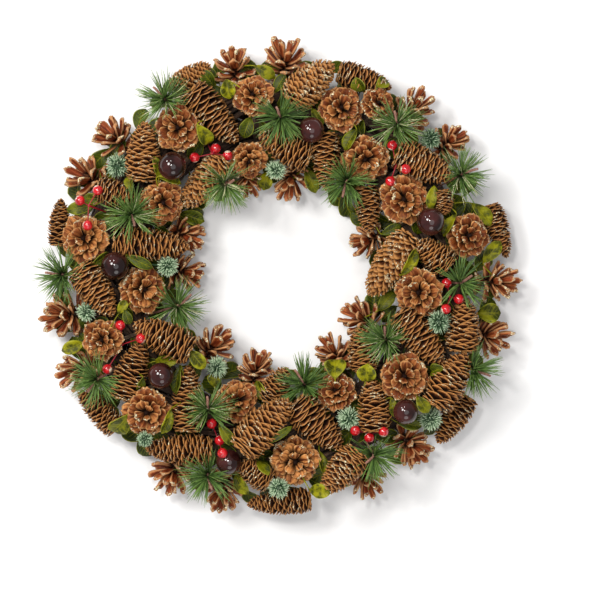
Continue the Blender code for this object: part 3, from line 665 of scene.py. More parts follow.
rim_cone_wood = scale_finish(
    "rim_cone_wood", RIM_BROWN, RIM_TAN, RIM_ENDS, shade=(0.06, 0.44), glitter=(0.08, 0.44), lines=1.8)
draw = np.random.default_rng(37)
rim_faces = shell_faces(*RIM_GRID)
for number, (across, down, radius) in enumerate(RIM_CONES):
    place = on_wreath(across, down)
    turn = arch_lean(place, RIM_LEAN)
    middle = place + (0, 0, RIM_HEIGHT)
    radius *= PIXEL * RIM_SPREAD
    bundle = Bundle()
    start = draw.uniform(0, math.tau)
    for finger in range(RIM_FINGERS):
        # at goes from the tip, where the fingers stand up, to the base, where they point a little down
        at = finger / (RIM_FINGERS - 1)
        rise_angle = math.radians(70 - 82 * at + draw.uniform(-9, 9))
        root_out, root_up = 0.08 * radius, radius * (0.10 - 0.90 * at)
        reach = radius * (1.18 - 0.30 * max(0.0, at - 0.45)) * draw.uniform(0.80, 1.0)
        tip_out = root_out + reach * math.cos(rise_angle)
        tip_up = root_up + reach * math.sin(rise_angle)
        half = radius * 0.265 * draw.uniform(0.80, 1.15) * (1 - 0.35 * max(0.0, 0.20 - at) / 0.20)

        def line(share):
            out = root_out + (tip_out - root_out) * share + 0.10 * radius * share * (1 - share)
            up = root_up + (tip_up - root_up) * share**1.25
            return out, up

        def half_width(share):
            return half * (0.42 + 0.58 * share) * np.sqrt(1 - (np.maximum(0.0, share - 0.84) / 0.175) ** 2)

        def thick(share):
            return radius * (0.100 + 0.060 * share**3) * (1 - 0.40 * share**14)

        points, along, aside = woody_scale(
            line, half_width, thick, RIM_GRID, cup=draw.uniform(-0.30, 0.05),
            rounding=draw.uniform(0.0, 0.09), umbo=0.05 * radius, lean=draw.uniform(-0.30, 0.30))
        points[:, 0] += 0.05 * radius * along**4 * np.sin(4.0 * aside + draw.uniform(*ANY_START))
        points = points @ (turn @ round_axis(start + finger * GOLDEN)).T + middle
        points[:, 2] = np.maximum(points[:, 2], LOWEST)
        bundle.add(points, rim_faces, along, aside, 0.5 + draw.uniform(-0.3, 0.3))
    core_rod(bundle, turn, middle, -0.80 * radius, 0.30 * radius, 0.16 * radius, 0.3)
    cone = bundle.piece(f"rim_cone_{number + 1:02d}", rim_cone_wood)
    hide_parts(cones_node(place))

# The cones' wires
# Two brown wires twisted together hold each cone. They are wound in between its scales,
# and their other ends go into the ring.
WIRE_HALF = 0.0006
WIRE_TWIST = 0.0009
WIRE_TURNS = 3
WIRE_STEPS = 17


def straight(start, end, steps, early=0.0):
    """A straight path, which may start early by a share of its length."""
    return start + (end - start) * np.linspace(-early, 1, steps)[:, None]


def cone_places(cones, lift_column):
    """Place, height and lift of each cone of a table."""
    places = [on_wreath(*row[:2]) for row in cones]
    return [(place, arch_height(place), 0.001 * row[lift_column]) for place, row in zip(places, cones)]


held_cones = cone_places(OPEN_CONES, 3) + cone_places(LONG_CONES, 5)
held_cones += [(on_wreath(*row[:2]), RIM_HEIGHT, 0.0) for row in RIM_CONES]
wire_turn = WIRE_TURNS * math.tau * np.linspace(0, 1, WIRE_STEPS)
for sector in range(SECTORS):
    bundle = Bundle()
    name = f"cones_{sector + 1:02d}"
    for place, height, lift in held_cones:
        if cones_node(place) != name:
            continue
        top = place + (0, 0, height + lift)
        # The wires end on top of the ring, or on its side where the cone hangs over it
        off = np.linalg.norm(place) - RING_RADIUS
        foot = unit(place) * (RING_RADIUS + max(-0.7, min(0.7, off / 0.05)) * RING_HALF_WIDTH)
        foot = foot + (0, 0, RING_HEIGHT * (0.80 if abs(off) < 0.03 else 0.55))
        ahead = unit(foot - top)
        first = unit(np.cross(ahead, (0.3, 0.9, 0.1)))
        second = np.cross(ahead, first)
        for strand in (0.0, math.pi):
            turn = (strand + wire_turn)[:, None]
            twist = WIRE_TWIST * (first * np.cos(turn) + second * np.sin(turn))
            bundle.add(*rods(straight(top, foot, WIRE_STEPS) + twist, WIRE_HALF, 5, first))
    wires = bundle.piece(f"cone_wires_{sector + 1:02d}", binding_wire)
    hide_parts(name)

# The leaves
# Preserved olive leaves, folded along their midrib and curled, with glitter brushed on their upper sides.
# They are glued by their stems between the cones. Smaller ones lie low in the gaps, on the ring, darkened as
# painted shade.
LEAF_THICKNESS = 0.0004
LEAF_GRID = (10, 7)
LEAF_STEM_REACH = 0.022
LEAF_STEM_HALF = (0.0005, 0.0008)
LEAF_GREEN = (0.045, 0.064, 0.001)
LEAF_PALE = (0.27, 0.255, 0.004)
LEAF_DEEP = (0.014, 0.022, 0.001)
LEAF_EDGE = (0.34, 0.34, 0.03)
# the leaves' glitter goes from a painted shadow to a painted glint
LEAF_GLITTER_SHADOW = (0.52, 0.46, 0.16)
LEAF_GLITTER = (0.78, 0.74, 0.42)
UNDER_HEIGHT = 0.052
UNDER_SLOPE = 0.66
UNDER_LEAN = 30
# how far out a row of low leaves lies, and the number of leaves in it
UNDER_LEAVES = ((0.103, 32), (0.121, 32), (0.147, 26), (0.173, 30), (0.192, 44), (0.208, 52))
# across, down, heading of the tip in degrees, length, width, height in millimetres, pitch and roll in degrees
LEAVES = (
    (208, 79, 130, 22, 12, 56.1, 18, 0), (228, 90, -80, 20, 14, 63.9, 0, 0),
    (265, 72, -30, 24, 12, 51.5, 0, 0), (280, 84, 60, 20, 12, 59.3, 0, -26),
    (205, 136, -55, 28, 14, 79.7, -34, 0), (247, 128, 250, 22, 14, 59.7, 0, 0),
    (265, 181, -100, 18, 14, 29.9, 0, 0), (158, 168, 100, 22, 9, 73.7, 19, 29),
    (170, 180, -15, 26, 9, 72.9, 0, -29), (131, 184, 100, 18, 9, 69.3, -20, -29),
    (91, 199, 0, 20, 10, 64.9, 34, 0), (81, 208, 190, 28, 12, 65.5, 0, 0),
    (192, 217, -20, 26, 14, 34.5, 0, 0), (101, 260, 35, 26, 10, 67.3, -21, 29),
    (140, 262, -25, 30, 10, 72.7, 0, 0), (123, 307, 60, 16, 9, 65.3, 0, 0),
    (128, 317, -70, 16, 9, 68.5, 0, 0), (73, 347, 200, 24, 13, 48.1, 0, 0),
    (166, 361, 0, 28, 10, 76.1, 34, 0), (178, 379, -100, 30, 10, 73.9, 0, 29),
    (142, 384, 250, 18, 8, 78.1, -34, -29), (198, 359, -50, 24, 13, 84.7, 0, 0),
    (121, 424, 225, 30, 19, 71.5, -34, -29), (168, 421, 250, 26, 11, 83.1, 0, -29),
    (214, 379, 90, 16, 12, 49.1, 0, 0), (261, 391, 120, 24, 13, 50.9, -12, -29),
    (335, 368, 90, 24, 20, 57.9, -34, 0), (366, 373, 80, 20, 18, 73.7, 24, 0),
    (227, 434, -55, 26, 11, 78.7, 0, 0), (280, 434, 35, 30, 7, 85.5, 0, 0),
    (263, 466, -50, 22, 10, 71.7, 34, -29), (322, 462, -80, 24, 9, 57.1, 0, -29),
    (241, 484, -60, 24, 14, 54.7, -1, 29), (319, 490, -10, 26, 14, 72.5, 34, 0),
    (422, 404, -55, 20, 12, 76.3, 0, 0), (393, 407, -80, 20, 9, 66.1, 0, 0),
    (409, 424, -10, 26, 10, 54.5, 0, 0), (409, 263, 60, 30, 12, 73.7, 2, 29),
    (386, 301, 50, 26, 13, 47.1, 0, 0), (492, 252, 50, 28, 14, 42.7, 0, 0),
    (489, 313, 0, 24, 18, 44.1, 0, 0), (436, 370, 200, 18, 11, 73.7, -34, 29),
    (431, 198, -100, 24, 10, 70.7, 0, 5), (482, 214, -50, 30, 15, 44.3, 0, -29),
    (449, 225, 240, 26, 10, 62.5, 0, 29), (391, 230, 25, 22, 9, 57.1, 0, 0),
    (359, 86, 120, 18, 14, 60.7, 30, -29), (382, 84, 30, 16, 12, 56.9, -34, -10),
    (317, 118, -60, 22, 9, 60.1, 0, 0), (350, 140, 240, 24, 13, 64.9, 0, 29),
    (311, 180, -70, 28, 12, 38.5, 0, 0),
)

leaf_skin, tree = finish_named("leaf_skin", 0.45, Specular_IOR_Level=0.18)
along, across, tone = (painted(tree, mark) for mark in MARKS)
flank = sums("ABSOLUTE", across)
colour = mixed(between(plus(tone, times(mottle(tree, 110.0), 0.8)), 0.4, 1.4), LEAF_GREEN, LEAF_PALE)
colour = mixed(between(mottle(tree, 120.0), 0.40, 0.60, 0.0, 0.9), colour, LEAF_DEEP)
side_veins = sums("SINE", times(plus(along, times(flank, -0.22)), 46.0))
vein = times(between(side_veins, 0.80, 1.0), between(flank, 0.9, 0.3))
vein = sums("MAXIMUM", vein, between(flank, 0.09, 0.02))
colour = mixed(times(vein, 0.5), colour, LEAF_PALE)
colour = mixed(between(flank, 0.86, 1.0, 0.0, 0.8), colour, LEAF_EDGE)
brushed = sums("MULTIPLY_ADD", tone, 0.42, -0.16)
colour, frost = frosted(colour, brushed, LEAF_GLITTER_SHADOW, LEAF_GLITTER)
lay_on(colour, plus(times(mottle(tree, 500.0), 0.5), plus(frost["Mask"], times(vein, 0.8))), 0.0005)

draw = np.random.default_rng(53)
leaf_faces = shell_faces(*LEAF_GRID)
leaf_along = np.linspace(0, 1, LEAF_GRID[0])[:, None] + np.zeros((1, LEAF_GRID[1]))
leaf_aside = np.linspace(-1, 1, LEAF_GRID[1])[None, :] + np.zeros((LEAF_GRID[0], 1))


def bowed(start, bend, end, steps):
    """A path from start to end that bends towards a point."""
    share = np.linspace(0, 1, steps)[:, None]
    return start * (1 - share) ** 2 + 2 * bend * share * (1 - share) + end * share**2


def add_leaf(bundle, middle, turn, length, width, holder, tone):
    """One leaf with its stem, which goes some way towards what holds it."""
    along, aside = leaf_along, leaf_aside
    teeth = 1 + 0.035 * np.sin(along * 55 + draw.uniform(0, 6)) * (along > 0.2)
    wide = 0.53 * width * (np.sin(math.pi * along**1.25) ** 0.62 + 0.03) * teeth
    fold = 0.33 * np.abs(aside) * wide * draw.uniform(0.7, 2.2)
    tip_curl = 0.10 * length * np.maximum(0, along - 0.75) * draw.uniform(-1, 3)
    curl = -0.30 * length * (along - 0.5) ** 2 - tip_curl
    ripple = 0.022 * length * np.sin(along * 9 + draw.uniform(*ANY_START)) * aside
    ripple = ripple + 0.012 * length * np.sin(along * 24 + 2 * aside + draw.uniform(*ANY_START)) * aside
    surface = np.stack([(along - 0.5) * length, aside * wide, fold + curl + ripple], -1)
    thick = LEAF_THICKNESS * (1 + np.exp(-((aside / 0.12) ** 2)) * (1 - 0.6 * along))
    half = np.stack([0 * along, 0 * along, 0.5 * thick], -1)
    points = np.concatenate([(surface + half).reshape(-1, 3), (surface - half).reshape(-1, 3)])
    marks = (np.tile(along.ravel(), 2), np.tile(aside.ravel(), 2), tone)
    bundle.add(points @ turn.T + middle, leaf_faces, *marks)
    root = middle + turn @ np.array([-0.47 * length, 0.0, -0.07 * length])
    end = root + (holder - root) * min(1.0, LEAF_STEM_REACH / np.linalg.norm(holder - root))
    path = bowed(root, root + turn @ np.array([-0.12 * length, 0.0, 0.0]), end, 7)
    stem = rods(path, np.linspace(*LEAF_STEM_HALF, 7), 5, marked=(0.0, 0.3))
    bundle.add(*stem[:3], tone=tone)


def leaf_turn(heading, pitch, roll):
    level = spun((0, 0, 1), math.radians(heading))
    return level @ spun((0, 1, 0), math.radians(-pitch)) @ spun((1, 0, 0), math.radians(roll))


cone_middles = [place + (0, 0, height) for place, height, lift in held_cones]
for number, (across, down, heading, length, width, height, pitch, roll) in enumerate(LEAVES):
    place = on_wreath(across, down)
    turn = leaf_turn(heading, pitch, roll)
    middle = place + (0, 0, 0.001 * height)
    root = middle - 0.5 * length * PIXEL * turn[:, 0]
    holder = min(cone_middles, key=lambda point: np.linalg.norm(point - root))
    bundle = Bundle()
    add_leaf(bundle, middle, turn, length * PIXEL, width * PIXEL, holder, draw.uniform(0, 1))
    leaf = bundle.piece(f"leaf_{number + 1:02d}", leaf_skin)
    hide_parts(cones_node(place))

under = {}
for row, (reach, count) in enumerate(UNDER_LEAVES):
    for number in range(count):
        around_here = math.tau * (number + 0.37 * row + draw.uniform(-0.3, 0.3)) / count
        out = np.array([math.cos(around_here), math.sin(around_here), 0.0])
        off = reach * draw.uniform(0.97, 1.03) - RING_RADIUS
        height = UNDER_HEIGHT - UNDER_SLOPE * abs(off) + draw.uniform(-0.002, 0.004)
        middle = out * (RING_RADIUS + off) + (0, 0, height)
        aside = draw.choice((-1, 1)) * draw.uniform(35, 85)
        heading = math.degrees(around_here) + (0 if off > 0 else 180) + aside
        turn = arch_lean(middle, UNDER_LEAN) @ leaf_turn(heading, draw.uniform(-14, 4), draw.uniform(-20, 20))
        holder = out * (RING_RADIUS + 0.4 * off) + (0, 0, 0.6 * RING_HEIGHT)
        length, width = draw.uniform(0.022, 0.030), draw.uniform(0.012, 0.018)
        bundle = under.setdefault(cones_node(middle), Bundle())
        # Low leaves get a darker tone, which is painted shade in the gaps
        add_leaf(bundle, middle, turn, length, width, holder, draw.uniform(-0.8, 0.1))
for name, bundle in sorted(under.items()):
    leaves = bundle.piece(f"under_leaves_{name[-2:]}", leaf_skin)
    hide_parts(name)

# The balls
# Seven blown balls the size of a large marble, dark plum with a wet gloss and a little gold dust.
# Each has a small crimped metal cap with a wire, by which it is fixed between the cones.
BALL_RADII = (14, 13, 14, 14, 13, 12.5, 12.5)
BALL_LEAN = 25
BALL_WIRE_LENGTH = 0.016
BALL_WIRE_HALF = 0.0006
CAP_OVERLAP = 0.0006
CAP_CRIMPS = 8
BALL_PLUM = (0.008, 0.002, 0.002)
BALL_SHEEN = (0.060, 0.014, 0.012)
BALL_DUST = (0.45, 0.36, 0.20)
CAP_DARK = (0.30, 0.20, 0.10)
CAP_GOLD = (0.55, 0.42, 0.22)
# radius and height of the cap's rings, in millimetres
CAP_RINGS = ((3.6, -0.2), (3.8, 0.4), (3.5, 0.6), (3.3, 2.6), (2.5, 3.2), (0.4, 3.3))

ball_gloss, tree = finish_named(
    "ball_gloss", 0.10, Specular_IOR_Level=0.3, IOR=1.45, Coat_Weight=0.4, Coat_Roughness=0.06)
colour = mixed(between(mottle(tree, 55.0, 4.0), 0.35, 0.75), BALL_PLUM, BALL_SHEEN)
dust = frosting(tree, -0.05)["Mask"]
colour = mixed(times(dust, 0.7), colour, BALL_DUST)
lay_on(colour, plus(mottle(tree, 220.0, 2.0), dust), 0.0001, sums("MULTIPLY_ADD", dust, 0.35, 0.10))

cap_metal, tree = finish_named("cap_metal", 0.35, Metallic=0.9)
lay_on(mixed(mottle(tree, 300.0), CAP_DARK, CAP_GOLD))


def turned_form(rings, sides):
    """A round form from (radius, height) rings, closed at both ends by its first and last ring."""
    rings = np.array(rings)
    angle = np.linspace(0, math.tau, sides, endpoint=False)
    flat = [rings[:, :1] * np.cos(angle), rings[:, :1] * np.sin(angle)]
    points = np.stack([*flat, rings[:, 1:] + 0 * angle], -1)
    spot = np.arange(len(rings) * sides).reshape(len(rings), sides)
    after = np.roll(spot, -1, 1)
    walls = np.stack([spot[:-1], after[:-1], after[1:], spot[1:]], -1).reshape(-1, 4)
    return points.reshape(-1, 3), [walls, spot[:1, ::-1], spot[-1:]]


latitude = np.linspace(-math.pi / 2 + 0.02, math.pi / 2 - 0.02, 30)
seam = 1 + 0.004 * np.exp(-((latitude / 0.03) ** 2))
for number, radius in enumerate(BALL_RADII):
    low, high = (np.array(corner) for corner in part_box(f"ball_{number + 1}"))
    middle, radius = (low + high) / 2, radius * PIXEL
    turn = arch_lean(middle, BALL_LEAN)
    points, faces = turned_form(radius * np.stack([np.cos(latitude) * seam, np.sin(latitude)], -1), 44)
    bundle = Bundle()
    bundle.add(points @ turn.T + middle, faces)
    crown = [(0.001 * reach, CAP_OVERLAP - radius - 0.001 * height) for reach, height in CAP_RINGS]
    points, faces = turned_form(crown[::-1], 16)
    points[:, :2] *= 1 + 0.05 * np.cos(CAP_CRIMPS * np.arctan2(points[:, 1], points[:, 0]))[:, None]
    bundle.add(points @ turn.T + middle, faces, finish=1)
    top, foot = (middle - down * turn[:, 2] for down in (radius, radius + BALL_WIRE_LENGTH))
    bundle.add(*rods(straight(top, foot, 9), BALL_WIRE_HALF, 5, turn[:, 0]), finish=1)
    ball = bundle.piece(f"plum_ball_{number + 1}", ball_gloss, cap_metal)
    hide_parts(f"ball_{number + 1}")

# The tufts
# Round tufts of short blue-green plastic needles, pale at their ends, that stand out round a moulded knob.
# A stem under the knob is pushed in between the cones.
TUFT_LEAN = 40
TUFT_NEEDLES = 260
TUFT_NEEDLE_HALF = 0.00052 * np.array([1.0, 1.1, 0.95, 0.35])
TUFT_STEM_HALF = (0.0011, 0.00055)
TUFT_GREEN = (0.035, 0.085, 0.034)
TUFT_SAGE = (0.20, 0.34, 0.17)
TUFT_FROST = (0.66, 0.80, 0.54)
# radius and height of the knob's rings, as shares of the tuft's radius
KNOB_RINGS = ((0.04, -0.42), (0.28, -0.34), (0.42, 0.0), (0.28, 0.32), (0.05, 0.40))
# the top of the solid's own knob, as a share too, by which the tuft's middle is found
SOLID_KNOB_TOP = 0.52
# across, down, radius
TUFTS = (
    (118, 166, 12), (87, 312, 10), (168, 266, 11), (276, 171, 10), (217, 367, 11), (279, 487, 11),
    (349, 418, 12), (430, 419, 12), (438, 322, 12), (430, 139, 11), (146, 438, 8),
)


def corners_of(name):
    return np.array([corner.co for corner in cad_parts[name].data.vertices], float)


def height_at(name, place):
    """Height of the node's highest corner that stands at this place, within 0.2 mm."""
    corners = corners_of(name)
    return corners[(np.abs(corners[:, :2] - place[:2]) < 0.0002).all(axis=1), 2].max()


tuft_needle, tree = finish_named("tuft_needle", 0.6)
along, tone = painted(tree, "along"), painted(tree, "tone")
line = fibres(tree, 4.0, 30.0)["Line"]
colour = mixed(between(plus(along, times(tone, 0.5)), 0.3, 1.2), TUFT_GREEN, TUFT_SAGE)
pale_end = sums("MULTIPLY_ADD", tone, 0.25, sums("MULTIPLY_ADD", line, 0.5, along))
colour = mixed(between(pale_end, 0.92, 1.34, 0.0, 0.95), colour, TUFT_FROST)
lay_on(colour, line, 0.0002, between(line, 0.3, 0.7, 0.45, 0.75))

draw = np.random.default_rng(61)
order = np.arange(TUFT_NEEDLES) + 0.5
steps = np.linspace(0.30, 1.0, len(TUFT_NEEDLE_HALF))
for number, (across, down, radius) in enumerate(TUFTS):
    name = f"tuft_{number + 1:02d}"
    place = on_wreath(across, down)
    radius *= PIXEL
    turn = arch_lean(place, TUFT_LEAN)
    up = turn[:, 2]
    top = SOLID_KNOB_TOP * radius * up
    middle = place + (0, 0, height_at(name, place + top) - top[2])
    polar = np.arccos(1 - 1.9 * order / TUFT_NEEDLES) + draw.normal(0, 0.08, TUFT_NEEDLES)
    angle = order * GOLDEN + draw.normal(0, 0.12, TUFT_NEEDLES)
    ways = np.stack([np.sin(polar) * np.cos(angle), np.sin(polar) * np.sin(angle), np.cos(polar)], -1)
    reach = radius * draw.uniform(0.84, 1.07, TUFT_NEEDLES)
    bend = draw.normal(0, 0.09, (TUFT_NEEDLES, 1, 3)) * radius * (steps**2)[:, None]
    paths = ways[:, None] * (reach[:, None] * steps)[:, :, None] + bend
    tones = draw.uniform(0, 1, TUFT_NEEDLES) + draw.uniform(-0.7, 0.2)
    bundle = Bundle()
    needles = rods(paths @ turn.T + middle, TUFT_NEEDLE_HALF, 3, (0.31, 0.2, 0.93))
    bundle.add(*needles, np.repeat(tones, 3 * len(steps)))
    knob, faces = turned_form(KNOB_RINGS, 10)
    bundle.add(knob * radius @ turn.T + middle, faces, tone=0.3)
    corners = corners_of(name)
    foot = corners[np.argmin((corners - middle) @ up)]
    stem = rods(straight(middle, foot, 6), np.linspace(*TUFT_STEM_HALF, 6), 6, turn[:, 0], marked=(0.0, 0.0))
    bundle.add(*stem, 0.1)
    tuft = bundle.piece(f"needle_tuft_{number + 1:02d}", tuft_needle)
    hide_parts(name)

# The berries
# Bunches of three lacquered red berries of 10 mm, with sugar glitter on one side.
# Each is on a thin red wire, and the three wires meet in a stem that is pushed in between the cones.
BERRY_RADIUS = 0.0050
BERRY_SAG = 0.004
BERRY_WIRE_HALF = 0.00055
BERRY_STEM_HALF = (0.0011, 0.0006)
CALYX_HALF = (0.0014, 0.0013, 0.0008, 0.0005)
BERRY_RED = (0.56, 0.008, 0.014)
BERRY_DEEP = (0.26, 0.004, 0.008)
BERRY_WIRE_DARK = (0.20, 0.004, 0.012)
BERRY_WIRE_RED = (0.42, 0.012, 0.025)
SUGAR_SHADOW = (0.70, 0.52, 0.30)
SUGAR_GLINT = (0.92, 0.86, 0.70)
# across, down of each berry of a bunch
BERRIES = (
    ((216, 149), (228, 156), (195, 158)), ((99, 191), (81, 201), (89, 226)),
    ((121, 325), (142, 338), (108, 369)), ((392, 146), (405, 170), (390, 182)),
    ((446, 283), (458, 299), (445, 309)), ((355, 430), (369, 437), (383, 431)),
    ((212, 423), (220, 440), (223, 452)),
)

berry_lacquer, tree = finish_named("berry_lacquer", 0.16, Coat_Weight=0.6, Coat_Roughness=0.05)
colour = mixed(between(mottle(tree, 260.0), 0.40, 0.72), BERRY_RED, BERRY_DEEP)
sugared = between(painted(tree, "along"), 0.30, 0.0, 0.0, 0.66)
colour, frost = frosted(colour, sugared, SUGAR_SHADOW, SUGAR_GLINT, 1500.0)
height = plus(times(frost["Mask"], frost["Grain"]), times(mottle(tree, 320.0), 0.3))
lay_on(colour, height, 0.0005, sums("MULTIPLY_ADD", frost["Mask"], 0.4, 0.16))

berry_wire, tree = finish_named("berry_wire", 0.45)
lay_on(mixed(mottle(tree, 500.0), BERRY_WIRE_DARK, BERRY_WIRE_RED))

draw = np.random.default_rng(71)
latitude = np.linspace(-math.pi / 2 + 0.05, math.pi / 2 - 0.12, 16)
dimple = 1 - 0.10 * np.exp(-(((latitude - math.pi / 2) / 0.30) ** 2))
profile = BERRY_RADIUS * np.stack([np.cos(latitude), np.sin(latitude) * dimple], -1)
round_berry, berry_faces = turned_form(profile, 22)
berry_middles = []
for number, bunch in enumerate(BERRIES):
    name = f"berries_{number + 1}"
    corners = corners_of(name)
    places = [on_wreath(across, down) for across, down in bunch]
    middles = [place + (0, 0, height_at(name, place) - BERRY_RADIUS) for place in places]
    berry_middles += middles
    knot = sum(middles) / 3
    near = corners[np.linalg.norm(corners[:, :2] - knot[:2], axis=1) < 0.0016]
    knot[2] = near[:, 2].mean() if len(near) else min(middle[2] for middle in middles)
    bundle = Bundle()
    for middle in middles:
        away = unit(middle - knot)
        first = unit(np.cross(away, (0, 0, 1.0)))
        turn = np.stack([first, np.cross(away, first), away], -1)
        side = unit(draw.normal(size=3) * (1, 1, 0.3))
        sugar = 1 - 0.5 * (1 + (round_berry / BERRY_RADIUS) @ (turn.T @ side))
        bundle.add(round_berry @ turn.T + middle, berry_faces, sugar)
        start = middle - away * 0.9 * BERRY_RADIUS
        path = bowed(start, 0.5 * (start + knot) - (0, 0, BERRY_SAG), knot, 9)
        bundle.add(*rods(path, BERRY_WIRE_HALF, 5), finish=1)
        calyx = start - away * np.linspace(-0.0006, 0.0016, 4)[:, None]
        bundle.add(*rods(calyx, CALYX_HALF, 6), finish=1)
    path = straight(knot, corners[np.argmin(corners[:, 2])], 9, 0.02)
    bundle.add(*rods(path, np.linspace(*BERRY_STEM_HALF, 9), 6, (0.9, 0.3, 0.1)), finish=1)
    berries = bundle.piece(f"red_berries_{number + 1}", berry_lacquer, berry_wire)
    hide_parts(name)

# The sprays
# Long soft pine needles set all round the end of a twig, whose bare pinkish tip shows in the middle, and some
# brushed with gold glitter. They follow the solid's few needles, and none crosses a berry or the bare tip.
SPRAY_LEAN = 48
NEEDLES = 180
NEEDLE_LENGTH = 0.029
NEEDLE_HALF = 0.00048 * np.array([0.9, 1.05, 1.0, 0.85, 0.25])
CORE_LENGTH = 0.009
TWIG_TIP = 0.007
TWIG_HALF = 0.0015 * np.array([1.1, 1.15, 1.1, 1.05, 1.0, 0.95, 0.9, 0.85, 0.7])
SPRAY_STEM_HALF = (0.0015, 0.0007)
TWIG_ROOM = 0.0020
BERRY_ROOM = 1.1 * BERRY_RADIUS
MOST_HEIGHT = 0.1065
NEEDLE_GREEN = (0.036, 0.095, 0.014)
NEEDLE_PALE = (0.20, 0.33, 0.070)
NEEDLE_ROOT_SHADE = (0.007, 0.022, 0.005)
GILT_SHADOW = (0.46, 0.40, 0.16)
GILT_GLINT = (0.80, 0.78, 0.52)
TWIG_BROWN = (0.16, 0.065, 0.045)
TWIG_PINK = (0.44, 0.22, 0.16)
TWIG_SPECK = (0.46, 0.27, 0.19)
# the tips of the solid's needles stand out at least so far, and two within so many degrees are one needle's
GUIDE_REACH = 0.019
GUIDE_ANGLE = 7
# how many degrees the needles of each row up the twig rise
NEEDLE_ROWS = (-2, 11, 27, 45, 65)
# across, down, heading of the twig's bare tip in degrees
SPRAYS = (
    (167, 103, 140), (281, 118, 115), (224, 181, 60), (132, 215, -80), (348, 180, -95), (395, 127, 118),
    (458, 176, 10), (458, 283, 40), (388, 341, 80), (470, 368, -20), (305, 387, 135), (208, 410, 100),
    (209, 472, -58), (372, 452, 200), (100, 378, -115), (66, 275, 170), (174, 307, 55),
)

pine_needle, tree = finish_named("pine_needle", 0.45)
along, tone = painted(tree, "along"), painted(tree, "tone")
line = fibres(tree, 2.0, 14.0)["Line"]
colour = mixed(between(tone, 0.0, 1.0), NEEDLE_GREEN, NEEDLE_PALE)
# Darker near the twig, as painted shade inside the spray
colour = mixed(between(along, 0.0, 0.45, 0.9, 0.0), colour, NEEDLE_ROOT_SHADE)
colour = mixed(between(line, 0.45, 0.70, 0.0, 0.5), colour, NEEDLE_PALE)
colour = mixed(between(along, 0.70, 1.0, 0.0, 0.6), colour, NEEDLE_PALE)
colour, frost = frosted(colour, between(tone, 0.60, 0.95, -0.05, 0.60), GILT_SHADOW, GILT_GLINT, 1500.0)
lay_on(colour, plus(line, frost["Mask"]), 0.0002, between(line, 0.3, 0.7, 0.35, 0.6))

twig_bark, tree = finish_named("twig_bark", 0.8)
line = fibres(tree, 4.0, 22.0)["Line"]
colour = mixed(between(line, 0.35, 0.7), TWIG_BROWN, TWIG_PINK)
colour = mixed(between(mottle(tree, 600.0), 0.5, 0.7, 0.0, 0.5), colour, TWIG_SPECK)
lay_on(colour, line, 0.0004)

draw = np.random.default_rng(83)
for number, (across, down, twig) in enumerate(SPRAYS):
    name = f"spray_{number + 1:02d}"
    place = on_wreath(across, down)
    turn = arch_lean(place, SPRAY_LEAN)
    stub = (CORE_LENGTH + TWIG_TIP) * turn[:, 2]
    origin = place + (0, 0, height_at(name, place + stub) - stub[2])
    local = np.unique(np.round((corners_of(name) - origin) @ turn, 6), axis=0)
    foot = local[np.argmin(local[:, 2])]
    guides = local[(np.linalg.norm(local, axis=1) > GUIDE_REACH) & (local[:, 2] > foot[2] + 1e-6)]
    found = unit(guides - (0, 0, 0.4 * CORE_LENGTH))
    # A spray's ways are those of the solid's needles, each only once
    ways = found[:1]
    for way in found:
        if (ways @ way).max() < math.cos(math.radians(GUIDE_ANGLE)):
            ways = np.vstack([ways, way])
    # The bare tip of the twig stands up and then leans over to one side
    steps = np.linspace(0, 1, len(TWIG_HALF))[:, None]
    side = turn.T @ np.array([math.cos(math.radians(twig)), math.sin(math.radians(twig)), 0.0])
    twig_path = CORE_LENGTH * np.array([0, 0, 1.0]) * np.minimum(1.0, 2 * steps) + 0.0004 * np.sin(9 * steps)
    twig_path = twig_path + np.maximum(0, steps - 0.45) * (0.020 * side + (0, 0, 0.012))
    twig_path = twig_path @ turn.T + origin
    kept_clear = [(berry, BERRY_ROOM) for berry in berry_middles]
    kept_clear += [(point, TWIG_ROOM) for point in twig_path[6:]]
    paths, tones = [], []
    glittered = draw.uniform(0, 1) < 0.5
    steps = np.linspace(0, 1, len(NEEDLE_HALF))[:, None]
    for needle in range(NEEDLES):
        # A needle points between two neighbouring ways, and starts the higher up the twig the more it rises
        way = ways[needle % len(ways)]
        other = ways[draw.choice(np.argsort(-ways @ way)[1:6])]
        heading = unit(way + (other - way) * draw.uniform(0, 0.55) + draw.normal(0, 0.07, 3))
        rise = math.degrees(math.asin(np.clip(heading[2], -1, 1)))
        row = np.interp(rise, NEEDLE_ROWS, range(5)) + draw.uniform(-0.4, 0.4)
        root = np.array([0, 0, CORE_LENGTH * (row + 0.5) / 5]) + 0.0011 * heading * (1, 1, 0)
        length = NEEDLE_LENGTH * draw.uniform(0.82, 1.10)
        bend = draw.normal(0, 0.0030, 3) + (0, 0, 0.0012)
        path = (root + heading * length * steps + bend * steps * (steps - 0.55)) @ turn.T + origin
        tone = draw.uniform(0.0, 1.0 if glittered else 0.75)
        fine = np.concatenate([path, (path[1:] + path[:-1]) / 2])[1:]
        if all(np.linalg.norm((fine - spot)[:, :2], axis=1).min() > room for spot, room in kept_clear):
            paths.append(path)
            tones.append(tone)
    paths = np.array(paths)
    paths[..., 2] = np.clip(paths[..., 2], LOWEST, MOST_HEIGHT)
    bundle = Bundle()
    bundle.add(*rods(paths, NEEDLE_HALF, 3, (0.21, 0.13, 0.95)), np.repeat(tones, 3 * len(steps)))
    bundle.add(*rods(twig_path, TWIG_HALF, 8, turn[:, 0]), 0.6, 1)
    path = straight(origin, origin + turn @ foot, 7, 0.05)
    bundle.add(*rods(path, np.linspace(*SPRAY_STEM_HALF, 7), 6, turn[:, 0]), 0.4, 1)
    spray = bundle.piece(f"pine_spray_{number + 1:02d}", pine_needle, twig_bark)
    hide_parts(name)

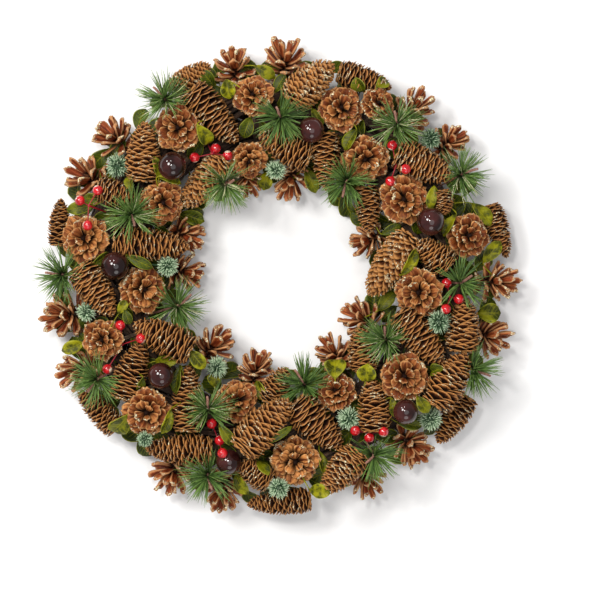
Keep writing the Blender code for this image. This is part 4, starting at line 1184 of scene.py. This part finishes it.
# Floor, light and camera
# A sheet of white paper under the wreath, in a room with white walls. A soft window is at the upper left, and
# small lamps are beside it. Weak, broad light comes from the other sides. The camera looks straight down.
FLOOR_SIZE = 6.0
FLOOR_DROP = 0.0002
PAPER_COOL = (0.82, 0.82, 0.825)
PAPER_WARM = (0.84, 0.84, 0.84)
ROOM_BRIGHTNESS = 0.38
CAMERA_HEIGHT = 5.0
FOCUS_HEIGHT = 0.045
SENSOR_WIDTH = 36.0
PICTURE_SIZE = 600
# name, place, width, watts, colour
LIGHTS = (
    ("window", (-1.40, 0.90, 2.6), 0.95, 58.0, (1.0, 0.985, 0.96)),
    ("lamp", (-0.36, 0.42, 2.7), 0.34, 20.0, (1.0, 0.98, 0.95)),
    ("high_lamp", (-0.50, 1.90, 2.08), 0.20, 12.0, (1.0, 0.96, 0.94)),
    ("side_lamp", (-1.75, 1.65, 1.50), 0.20, 12.0, (1.0, 0.96, 0.94)),
    ("fill", (0.5, -0.4, 3.2), 2.4, 26.0, (0.97, 0.98, 1.0)),
    ("low_panel", (0.25, -1.7, 1.15), 1.1, 9.0, (1.0, 0.97, 0.95)),
)

paper, tree = finish_named("white_paper", 0.9)
lay_on(mixed(mottle(tree, 60.0), PAPER_COOL, PAPER_WARM))
bpy.ops.mesh.primitive_grid_add(
    x_subdivisions=8, y_subdivisions=8, size=FLOOR_SIZE, location=(0, 0, -FLOOR_DROP))
floor = bpy.context.object
floor.name = "floor"
floor.data.materials.append(paper)

for name, place, width, watts, colour in LIGHTS:
    light = bpy.data.lights.new(name, "AREA")
    light.shape = "DISK"
    light.size = width
    light.energy = watts
    light.color = colour
    lamp = bpy.data.objects.new(name, light)
    lamp.location = place
    lamp.rotation_mode = "QUATERNION"
    lamp.rotation_quaternion = lamp.location.to_track_quat("Z", "Y")
    bpy.context.scene.collection.objects.link(lamp)

world = bpy.data.worlds.new("white_room")
world.use_nodes = True
walls = world.node_tree.nodes["Background"].inputs
walls["Color"].default_value = (1.0, 1.0, 1.0, 1.0)
walls["Strength"].default_value = ROOM_BRIGHTNESS
bpy.context.scene.world = world
bpy.context.scene.view_settings.view_transform = "Standard"

camera = bpy.data.cameras.new("camera")
camera.lens = SENSOR_WIDTH * (CAMERA_HEIGHT - FOCUS_HEIGHT) / (PICTURE_SIZE * PIXEL)
camera.clip_start = 0.1
camera.clip_end = 20.0
viewer = bpy.data.objects.new("camera", camera)
viewer.location = (*on_wreath(PICTURE_SIZE / 2, PICTURE_SIZE / 2)[:2], CAMERA_HEIGHT)
bpy.context.scene.collection.objects.link(viewer)
bpy.context.scene.camera = viewer
